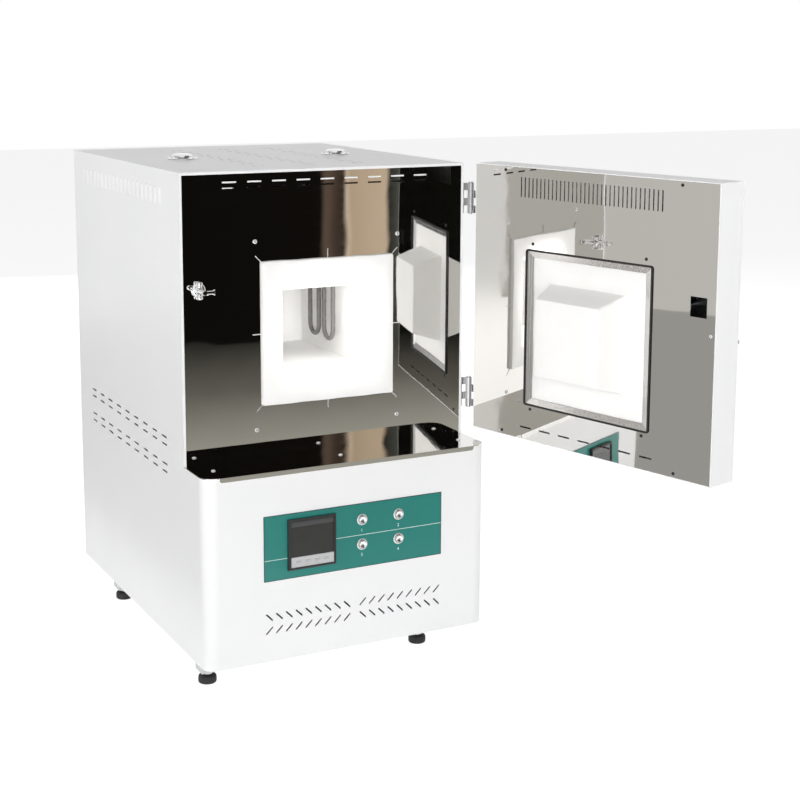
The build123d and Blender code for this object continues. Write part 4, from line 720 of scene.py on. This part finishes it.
# Control panel: a teal laminated plate with a thin black border, on which the white
# lines and the plain numerals of the buttons are printed.
teal_ink = finish("teal_laminate", (0.010, 0.215, 0.185), (0.012, 0.185, 0.160),
                  smooth=0.30, rough=0.40, grain=900, peel=0.00002, clouds=5, coat=0.2)
border_width, border_colour = 0.0011, (0.006, 0.010, 0.010, 1)
teal_tree = teal_ink.node_tree
panel_place = add_node(teal_tree, "ShaderNodeTexCoord")
panel_split = add_node(teal_tree, "ShaderNodeSeparateXYZ")
teal_tree.links.new(panel_place.outputs["Object"], panel_split.inputs[0])
low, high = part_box("faceplate")
border = add_node(teal_tree, "ShaderNodeMath", operation="MAXIMUM")
for number, (axis, first, last) in enumerate((("X", low.x, high.x), ("Z", low.z, high.z))):
    away = add_node(teal_tree, "ShaderNodeMath", {1: (first + last) / 2}, operation="SUBTRACT")
    size = add_node(teal_tree, "ShaderNodeMath", operation="ABSOLUTE")
    beyond = add_node(teal_tree, "ShaderNodeMath", {1: (last - first) / 2 - border_width},
                      operation="GREATER_THAN")
    teal_tree.links.new(panel_split.outputs[axis], away.inputs[0])
    teal_tree.links.new(away.outputs[0], size.inputs[0])
    teal_tree.links.new(size.outputs[0], beyond.inputs[0])
    teal_tree.links.new(beyond.outputs[0], border.inputs[number])
overlay(teal_ink, border.outputs[0], border_colour)
dress(teal_ink, "faceplate")

# Print on the panel: two white lines from its ends to the controller and the buttons,
# and a small figure under each button, all a thin film of ink.
print_ink = finish("print_ink", (0.80, 0.93, 0.90), (0.68, 0.84, 0.80),
                   smooth=0.35, rough=0.5, grain=900, peel=0.00001, clouds=300)
panel_y = low.y
printed_lines = [(-0.1759, -0.1308, 0.2287), (-0.0346, 0.1889, 0.2515)]
line_steps = 24
line_section = np.array([(0.0, -0.0005), (-0.00012, -0.00045), (-0.00012, 0.00045), (0.0, 0.0005)])
for number, (start_x, end_x, line_z) in enumerate(printed_lines, 1):
    line = np.stack(np.broadcast_arrays(
        np.linspace(start_x, end_x, line_steps)[:, None],
        panel_y + line_section[:, 0],
        line_z + line_section[:, 1],
    ), axis=-1)
    joined(line, tube_faces(*line.shape[:2]), f"panel_line_{number}", print_ink, "cabinet",
           ())
button_columns = (0.0205, 0.097)
figure_rows, figure_height, figure_lift = (0.2600, 0.2130), 0.0085, 0.00006
figure_spots = [(x, z) for z in figure_rows for x in button_columns]
for number, (x, z) in enumerate(figure_spots, 1):
    figure = bpy.data.curves.new(f"button_number_{number}", "FONT")
    figure.body = str(number)
    figure.size = figure_height
    figure.align_x, figure.align_y = "CENTER", "CENTER"
    figure.extrude = figure_lift
    sketch = bpy.data.objects.new("sketch", figure)
    scene.collection.objects.link(sketch)
    bpy.context.view_layer.update()
    numeral = bpy.data.meshes.new_from_object(sketch)
    bpy.data.objects.remove(sketch)
    flat = np.empty(len(numeral.vertices) * 3)
    numeral.vertices.foreach_get("co", flat)
    flat = flat.reshape(-1, 3)
    placed = np.stack([x + flat[:, 0], panel_y - figure_lift - flat[:, 2], z + flat[:, 1]], axis=1)
    figure_faces = [list(polygon.vertices) for polygon in numeral.polygons]
    joined(placed, figure_faces, f"button_number_{number}", print_ink, "cabinet", ())

# Controller: a moulded black bezel with a smoked window, a silver strip with four
# small keys, and its case behind the panel.
black_plastic = finish("black_plastic", (0.020, 0.020, 0.022), (0.012, 0.012, 0.013),
                       smooth=0.32, rough=0.45, grain=900, peel=0.00003, clouds=40, coat=0.1)
dress(black_plastic, "controller_case")
smoked_window = finish("smoked_window", (0.030, 0.031, 0.033), (0.020, 0.021, 0.020),
                       smooth=0.10, rough=0.16, grain=900, peel=0, clouds=20, coat=0.4)
band_low_z, band_colour = 0.2868, (0.060, 0.062, 0.066, 1)
window_tree = smoked_window.node_tree
window_place = add_node(window_tree, "ShaderNodeTexCoord")
window_split = add_node(window_tree, "ShaderNodeSeparateXYZ")
window_band = add_node(window_tree, "ShaderNodeMath", {1: band_low_z}, operation="GREATER_THAN")
window_tree.links.new(window_place.outputs["Object"], window_split.inputs[0])
window_tree.links.new(window_split.outputs["Z"], window_band.inputs[0])
overlay(smoked_window, window_band.outputs[0], band_colour)
dress(smoked_window, "controller_window")
silver_strip = finish("silver_strip", (0.56, 0.56, 0.57), (0.50, 0.50, 0.51),
                      smooth=0.35, rough=0.45, grain=900, peel=0.00002, clouds=30, coat=0.1)
dress(silver_strip, "key_strip")
key_face = finish("key_face", (0.50, 0.50, 0.51), (0.42, 0.42, 0.43),
                  smooth=0.35, rough=0.45, grain=900, peel=0.00002, clouds=60)
dress(key_face, *[f"controller_key_{number}" for number in range(1, 5)])

# Push buttons: chromed sleeves screwed into the panel, each with a dished head that
# springs back. The heads ride on their own bodies.
button_rows, sleeve_seat_y = (0.2817, 0.2340), -0.4342
button_spots = [(x, sleeve_seat_y, z) for z in button_rows for x in button_columns]
turned("button_sleeve_set", [
    (3.1, -24), (9.45, -24), (9.45, 0), (11, 0), (11, 1.7), (10.7, 2.4), (10.0, 2.9), (9.2, 3.0),
    (8.5, 2.9), (7.8, 2.5), (7.4, 1.8), (7.35, 1.0), (7.35, -5.1), (3.1, -5.1), (3.1, -24),
], button_spots, (0, -1, 0), bright_metal, "cabinet", ("button_sleeves",))
for number, spot in enumerate(button_spots, 1):
    turned(f"button_head_{number}", [
        (0, 4.4), (2.0, 4.5), (3.6, 4.85), (4.8, 5.4), (5.6, 5.9), (6.2, 6.0), (6.8, 5.7),
        (7.15, 5.0), (7.25, 4.2), (7.25, -3), (3, -3), (3, -9), (0, -9),
    ], spot, (0, -1, 0), bright_metal, f"push_button_{number}", (f"push_button_{number}",))

# Vent caps on the roof: a spun flange held by four small screws, and on its neck a
# low turned cap with rounded edges, both bright.
roof_z = 0.931
cap_spots = [(-0.167, -0.008, roof_z), (0.167, -0.008, roof_z)]
turned("vent_flange_set", [
    (0, 0), (29.6, 0), (30, 0.4), (30, 1.5), (29.5, 2.0), (16, 2.0), (14, 2.3), (13.1, 3.2),
    (13, 5.5), (0, 5.5),
], cap_spots, (0, 0, 1), bright_metal, "cabinet", ("vent_flanges",))
turned("vent_cap_set", [
    (13.1, 3.5), (19.2, 3.5), (19.9, 4.2), (20, 5.4), (19.7, 7.2), (18.6, 8.8), (16.6, 9.8),
    (13.5, 10.3), (8, 10.5), (0, 10.5), (0, 5.6), (13.1, 5.6), (13.1, 3.5),
], cap_spots, (0, 0, 1), bright_metal, "cabinet", ("vent_caps",))

# Levelling feet: a black rubber pad moulded on a zinc-plated stud, which screws up
# into the bracket of the base and is held by a lock nut.
foot_rubber = finish("foot_rubber", (0.022, 0.022, 0.022), (0.014, 0.014, 0.014),
                     smooth=0.55, rough=0.75, grain=700, peel=0.00012, clouds=60)
stud_steel = finish("zinc_plated_steel", (0.66, 0.66, 0.64), (0.52, 0.52, 0.50),
                    smooth=0.25, rough=0.4, grain=500, peel=0.00002, metal=1.0,
                    streak=(300, 300, 300), clouds=50)
dress(stud_steel, "lock_nuts")
stud_radius, thread_depth, thread_start, half_pitch = 5.0, 0.55, 15.2, 0.75
thread = [(stud_radius - thread_depth * (step % 2), thread_start + half_pitch * step)
          for step in range(47)]
for across, x in (("left", -0.272), ("right", 0.164)):
    for depth, y in (("front", -0.387), ("back", 0.110)):
        name, spot = f"foot_{across}_{depth}", (x, y, 0)
        turned(f"{name}_pad", [
            (0, 0), (14.2, 0), (15.4, 0.35), (16.3, 1.1), (16.9, 2.4), (17, 4), (17, 10.6),
            (16.6, 12.3), (15.6, 13.8), (14.2, 14.8), (13, 15), (0, 15),
        ], spot, (0, 0, 1), foot_rubber, name, (name,))
        turned(f"{name}_stud",
               [(0, 14.9), (stud_radius, 14.9), *thread, (4.4, 50.6), (0, 51)],
               spot, (0, 0, 1), stud_steel, name, (name,), 24)

# Cable gland in the rear panel: a black moulded body with its nut inside the panel, a
# collar outside and a domed clamping cap round the bore.
rear_y = 0.331
turned("cable_gland_body", [
    (6.5, -7.5), (8.95, -7.5), (8.95, -6.5), (11.9, -6.5), (11.9, -1.5), (8.95, -1.5), (8.95, 0),
    (12, 0), (12, 3.4), (11.4, 4.0), (10.5, 4.0), (10.5, 12.8), (9.9, 14.4), (8.6, 15.6),
    (7.4, 16), (6.5, 15.7), (6.5, -7.5),
], (0.190, rear_y, 0.125), (0, 1, 0), black_plastic, "cabinet", ("cable_gland",))


# Screws: pan heads with a cross recess, a dip along two lines through the middle.
# Silver ones hold the plate, shelf, rear and vent flanges; black ones the liner.
def pan_screws(name, spots, along, size, length, material, body, replaces):
    """Heads h = height (1 - 0.55 (r/R)^4 - 0.6 cross), where the cross is exp(-(s/w)^2) with
    s the distance to the nearer of its lines, faded out past its arms; a shank behind."""
    radius, height, shank = size
    along = np.array(along, float)
    side, across = square_to(along)
    rings, steps = 12, 40
    arm_width, arm_end, arm_fade, doming, recess = 0.11, 0.56, 30, 0.55, 0.6
    share = np.linspace(0, 1, rings)[:, None]
    angle = np.linspace(0, 2 * math.pi, steps, endpoint=False)
    u, v = share * np.cos(angle), share * np.sin(angle)
    nearer = np.minimum(np.abs(u), np.abs(v))
    arms = np.exp(-(nearer / arm_width) ** 2) / (1 + np.exp((share - arm_end) * arm_fade))
    crown = height * (1 - doming * share ** 4 - recess * arms)
    top = radius * (u[..., None] * side + v[..., None] * across) + crown[..., None] * along
    circle = np.cos(angle)[:, None] * side + np.sin(angle)[:, None] * across
    skirt = [out * circle - back * along
             for out, back in ((radius, 0), (shank, 0), (shank, length), (0, length))]
    shape = np.concatenate([top, skirt])
    blocks, faces = [], []
    for number, spot in enumerate(np.array(spots, float).reshape(-1, 3)):
        blocks.append(shape.reshape(-1, 3) + spot)
        faces += grid_faces(len(shape), steps, number * len(shape) * steps)
    joined(np.concatenate(blocks), faces, name, material, body, replaces, 40)


shelf_z = 0.395
large_screw, small_screw = (0.004, 0.0022, 0.00195), (0.003, 0.0016, 0.00145)
plate_spots = [(side * 0.146, plate_y, z) for side in (-1, 1) for z in (0.448, 0.801)]
shelf_spots = [(x, -0.381, shelf_z) for x in (-0.252, 0.002, 0.256)]
rear_spots = [(side * 0.2815, rear_y, z) for side in (-1, 1) for z in (0.095, 0.483, 0.871)]
for name, spots, along, length in (("plate_screw_set", plate_spots, (0, -1, 0), 0.003),
                                   ("shelf_screw_set", shelf_spots, (0, 0, 1), 0.007),
                                   ("rear_screw_set", rear_spots, (0, 1, 0), 0.007)):
    pan_screws(name, spots, along, large_screw, length, bright_metal, "cabinet",
               ("cabinet_screws",))
flange_circle, flange_top, small_length = 0.0245, 0.002, 0.007
flange_angles = [math.radians(45 + 90 * corner) for corner in range(4)]
vent_spots = [(x + flange_circle * math.cos(angle), y + flange_circle * math.sin(angle),
               z + flange_top) for x, y, z in cap_spots for angle in flange_angles]
pan_screws("vent_screw_set", vent_spots, (0, 0, 1), small_screw, small_length, bright_metal,
           "cabinet", ("vent_screws",))
black_steel = finish("blackened_steel", (0.045, 0.045, 0.045), (0.025, 0.025, 0.025),
                     smooth=0.3, rough=0.45, grain=500, peel=0.00001, metal=0.6,
                     streak=(200, 200, 200), clouds=60)
block_screw_rows, liner_screw_rows = (0.4719, 0.7889), (0.418, 0.9235)
liner_spots = [(x, liner_y, z) for x in (-0.136, 0.136) for z in block_screw_rows]
liner_spots += [(x, liner_y, z) for x in (-0.210, 0.210) for z in liner_screw_rows]
pan_screws("door_screw_set", on_open_door(np.array(liner_spots)), -outward, small_screw,
           small_length, black_steel, "door", ("door_screws",))
corner_spot = np.array([(-0.280, liner_y, 0.672)])
pan_screws("latch_corner_screw", on_open_door(corner_spot), -outward, small_screw,
           small_length, bright_metal, "door", ("corner_screw",))
